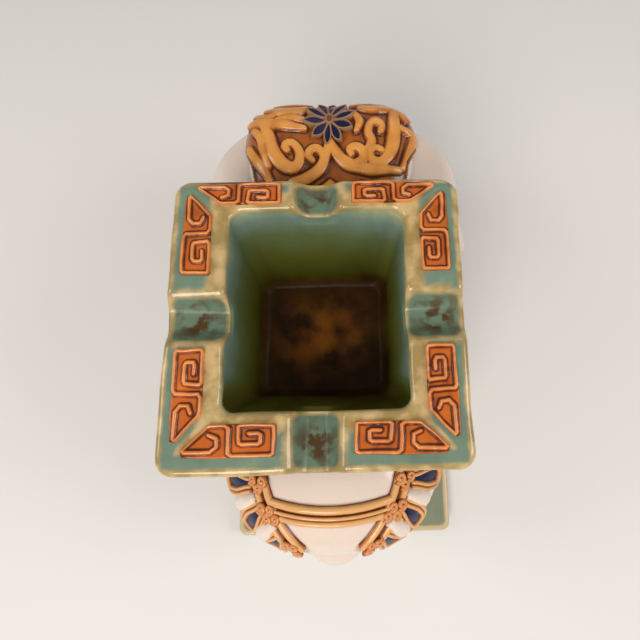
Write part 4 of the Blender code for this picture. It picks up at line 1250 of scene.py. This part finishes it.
buildTorso()
dressWhite("skull", bodyRings(headSize, headForm, steps(150), steps(150)), "head")
for legEnd in ("front", "rear"):
    for sideSign, sideWord in sides:
        facing = math.radians(90 - legForm["toeOut"] * sideSign)
        buildLeg(sideSign * legForm["x"], legForm[legEnd], facing, f"leg_{legEnd}_{sideWord}")
buildTrunk()
for sideSign, sideWord in sides:
    buildEar(sideSign, "ear_" + sideWord)
    tusk = []
    for x, (y, z, _) in zip(tuskForm["x"], tuskForm["path"]):
        tusk.append((sideSign * x, headForm["front"] + y, headForm["middle"] + z))
    buildRod("tuskCurve_" + sideWord, tusk, tuskForm, "tusk_" + sideWord)
tailTop = torsoForm["middle"] + torsoForm["lift"] - tailForm["drop"]
tail = [(0, torsoForm["rear"] + y, tailTop + z) for y, z, _ in tailForm["path"]]
buildRod("tailTuft", tail, tailForm, "tail")
print("body ready")


# Saddle cloth with the same kind of relief round the bowl, and the eyes

saddleForm = {
    "half": 0.052, "hem": 0.086, "low": 0.0013, "high": 0.0031, "border": 0.0070, "swell": 0.0024,
    "lift": 0.0003, "back": 0.0004, "soft": (-0.0012, 0.0006), "stretch": 1.15,
    "hole": (0.0412, -0.0437, 0.0503),  # half width, near and far end
}
saddleScrolls = (  # along the hem from the middle, and up from the hem, in mm
    (((2, 14), (3, 22), (5, 30), (11, 33), (14, 28), (10, 25)), (1.2, 2.0, 2.3, 2.1, 1.8, 1.2)),
    (((36, 12), (33, 22), (26, 27), (20, 23), (22, 18), (26, 19)), (1.2, 2.0, 2.3, 2.1, 1.8, 1.2)),
    (((38, 30), (31, 35), (24, 42), (17, 42), (17, 36), (21, 36)), (1.2, 2.0, 2.2, 2.0, 1.8, 1.2)),
    (((2, 12), (10, 13), (20, 12), (30, 10.5)), (1.2, 1.8, 1.7, 0.9)),
    (((41, 30), (41.5, 36), (39, 45), (34, 44), (35, 40)), (1.2, 1.7, 1.8, 1.6, 1.1)),
    (((2, 40), (6, 44), (12, 48)), (1.0, 1.9, 1.0)),
)


def buildSaddle():
    f = SimpleNamespace(**saddleForm)
    run = np.linspace(0, 1, steps(140), endpoint=False)
    holeX, holeNear, holeFar = f.hole
    hole, hem = [], []  # matching walks round the hole and the hem: x or its share, and y
    for (x0, y0), (x1, y1) in (((1, 0), (1, 1)), ((1, 1), (-1, 1)), ((-1, 1), (-1, 0)), ((-1, 0), (1, 0))):
        across, along = x0 + (x1 - x0) * run, y0 + (y1 - y0) * run
        hole.append(np.stack([trayForm["x"] + holeX * across, holeNear + (holeFar - holeNear) * along], -1))
        hem.append(np.stack([across, f.half * (2 * along - 1)], -1))
    (holeX, holeY), (hemShare, hemY) = np.concatenate(hole).T, np.concatenate(hem).T
    power = torsoForm["power"]
    holeAngle = angleAtX(np.abs(holeX) / torsoSize(holeY)[0], power)
    holeAngle = np.where(holeX > 0, holeAngle, math.pi - holeAngle)
    _, _, low, middle = torsoSize(hemY)
    q = np.clip((middle - f.hem) / low, 0, 1)
    hemAngle = math.pi / 2 - (math.pi / 2 + np.arctan2(q, fall(q, power, power))) * hemShare
    t = np.linspace(0, 1, steps(85))[:, None]
    y = holeY + (hemY - holeY) * t
    base = bodyPoint(torsoSize, torsoForm, holeAngle + (hemAngle - holeAngle) * t, y)
    normal = slope(torsoField, base)
    fromHem, across = (base[..., 2] - f.hem) * f.stretch, np.abs(y)
    gap = reliefGap(across, fromHem, [stroke(*scroll) for scroll in saddleScrolls])
    body = 1 - rise(gap, *f.soft)
    rim = np.minimum(fromHem, f.half - across)
    plain = rise(rim, f.border, f.border + 0.0008)
    bands = np.abs(np.sin(math.pi * rim / f.border * 3)) ** 0.6
    swell = np.sqrt(np.clip(-gap / f.swell, 0, 1)) * plain
    relief = np.maximum(body * plain * (0.72 + 0.28 * swell), bands * (1 - plain) * 0.7)
    high = (f.low + (f.high - f.low) * relief) * (0.3 + 0.7 * rise(rim, 0, 0.0008))
    outline = 1 - rise(np.abs(gap - 0.0004), 0, 0.0009)
    tone = np.where(plain < 0.5, 0.12 + 0.72 * bands, 0.42 + 0.46 * body + 0.16 * swell - 0.36 * outline)
    outer, inner = base + normal * (f.lift + high)[..., None], base - normal * f.back
    dress(closedCollar("scrollSaddle", outer, inner, {"relief": tone}), goldGlaze, "saddle_cloth")


eyeForm = {"radius": 0.0045, "x": 0.0345, "sink": 0.001, "up": 0.004}


def buildEye(side, node):
    f = SimpleNamespace(**eyeForm)
    a, b = circle(40), np.linspace(-1.5, 1.5, 26)[:, None]
    ahead = (headForm["front"] - headForm["centre"]) * fall(f.x / headForm["half"], 2.5, 3.5)
    centre = np.array([side * f.x, headForm["centre"] + ahead - f.sink, headForm["middle"] + f.up])
    ball = np.stack([np.cos(b) * np.cos(a), np.cos(b) * np.sin(a), np.sin(b) + 0 * a], -1)
    plain = np.zeros(ball.shape[:2])
    bead = closedTube(node + "_bead", ball * f.radius + centre, {"relief": plain, "hem": plain})
    dress(bead, blueGlaze, node)


buildSaddle()
for sideSign, sideWord in sides:
    buildEye(sideSign, "eye_" + sideWord)
print("saddle and eyes ready")


# Floor, light and camera

stageForm = {
    "floor": (0.80, 0.79, 0.77), "rough": 0.7, "reach": 3.0, "below": -0.0005,
    "world": (1.0, 0.97, 0.94), "worldStrength": 0.30,
}
floorMesh = bpy.data.meshes.new("floor")
reach, below = stageForm["reach"], stageForm["below"]
corners = [(-reach, -reach, below), (reach, -reach, below), (reach, reach, below), (-reach, reach, below)]
floorMesh.from_pydata(corners, [], [(0, 1, 2, 3)])
floor = placePiece("floor", floorMesh)
floorPaint = bpy.data.materials.new("paleFloor")
floorPaint.use_nodes = True
floorShader = floorPaint.node_tree.nodes["Principled BSDF"].inputs
floorShader["Base Color"].default_value = (*stageForm["floor"], 1)
floorShader["Roughness"].default_value = stageForm["rough"]
floorMesh.materials.append(floorPaint)

world = bpy.data.worlds.new("studio")
bpy.context.scene.world = world
world.use_nodes = True
sky = world.node_tree.nodes["Background"].inputs
sky["Color"].default_value = (*stageForm["world"], 1)
sky["Strength"].default_value = stageForm["worldStrength"]

lampTarget = (0.0, 0.0, 0.12)
lamps = (  # name, place, size, power, colour
    ("nearKey", (-0.25, -0.80, 0.95), 0.60, 8.0, (1.0, 0.95, 0.89)),
    ("rightFill", (0.80, -0.10, 0.75), 0.50, 3.6, (1.0, 0.96, 0.92)),
    ("leftFill", (-0.85, 0.05, 0.75), 0.50, 2.6, (1.0, 0.96, 0.92)),
    ("farFill", (0.25, 0.95, 0.70), 0.50, 0.7, (1.0, 0.95, 0.88)),
)
for name, place, size, power, colour in lamps:
    lamp = bpy.data.lights.new(name, "AREA")
    lamp.shape, lamp.size, lamp.energy, lamp.color = "DISK", size, power, colour
    holder = placePiece(name, lamp)
    holder.location = place
    x, y, z = np.array(lampTarget) - np.array(place)
    holder.rotation_euler = (math.atan2(math.hypot(x, y), -z), 0, math.atan2(x, -y) + math.pi)

cameraForm = {
    "place": (0.01562, -0.04679, 0.37151), "turn": (13.094, -0.664, -1.286),
    "focal": 465.16, "axisX": 370, "frame": 640, "sensor": 36,
}
cameraData = bpy.data.cameras.new("photoCamera")
cameraData.sensor_width = cameraForm["sensor"]
cameraData.sensor_fit = "HORIZONTAL"
cameraData.lens = cameraForm["focal"] / cameraForm["frame"] * cameraForm["sensor"]
cameraData.shift_x = 0.5 - cameraForm["axisX"] / cameraForm["frame"]
cameraData.clip_start = 0.01
camera = placePiece("photoCamera", cameraData)
camera.location = cameraForm["place"]
camera.rotation_euler = tuple(math.radians(v) for v in cameraForm["turn"])
bpy.context.scene.camera = camera
bpy.context.scene.view_settings.view_transform = "Standard"

print("scene ready")
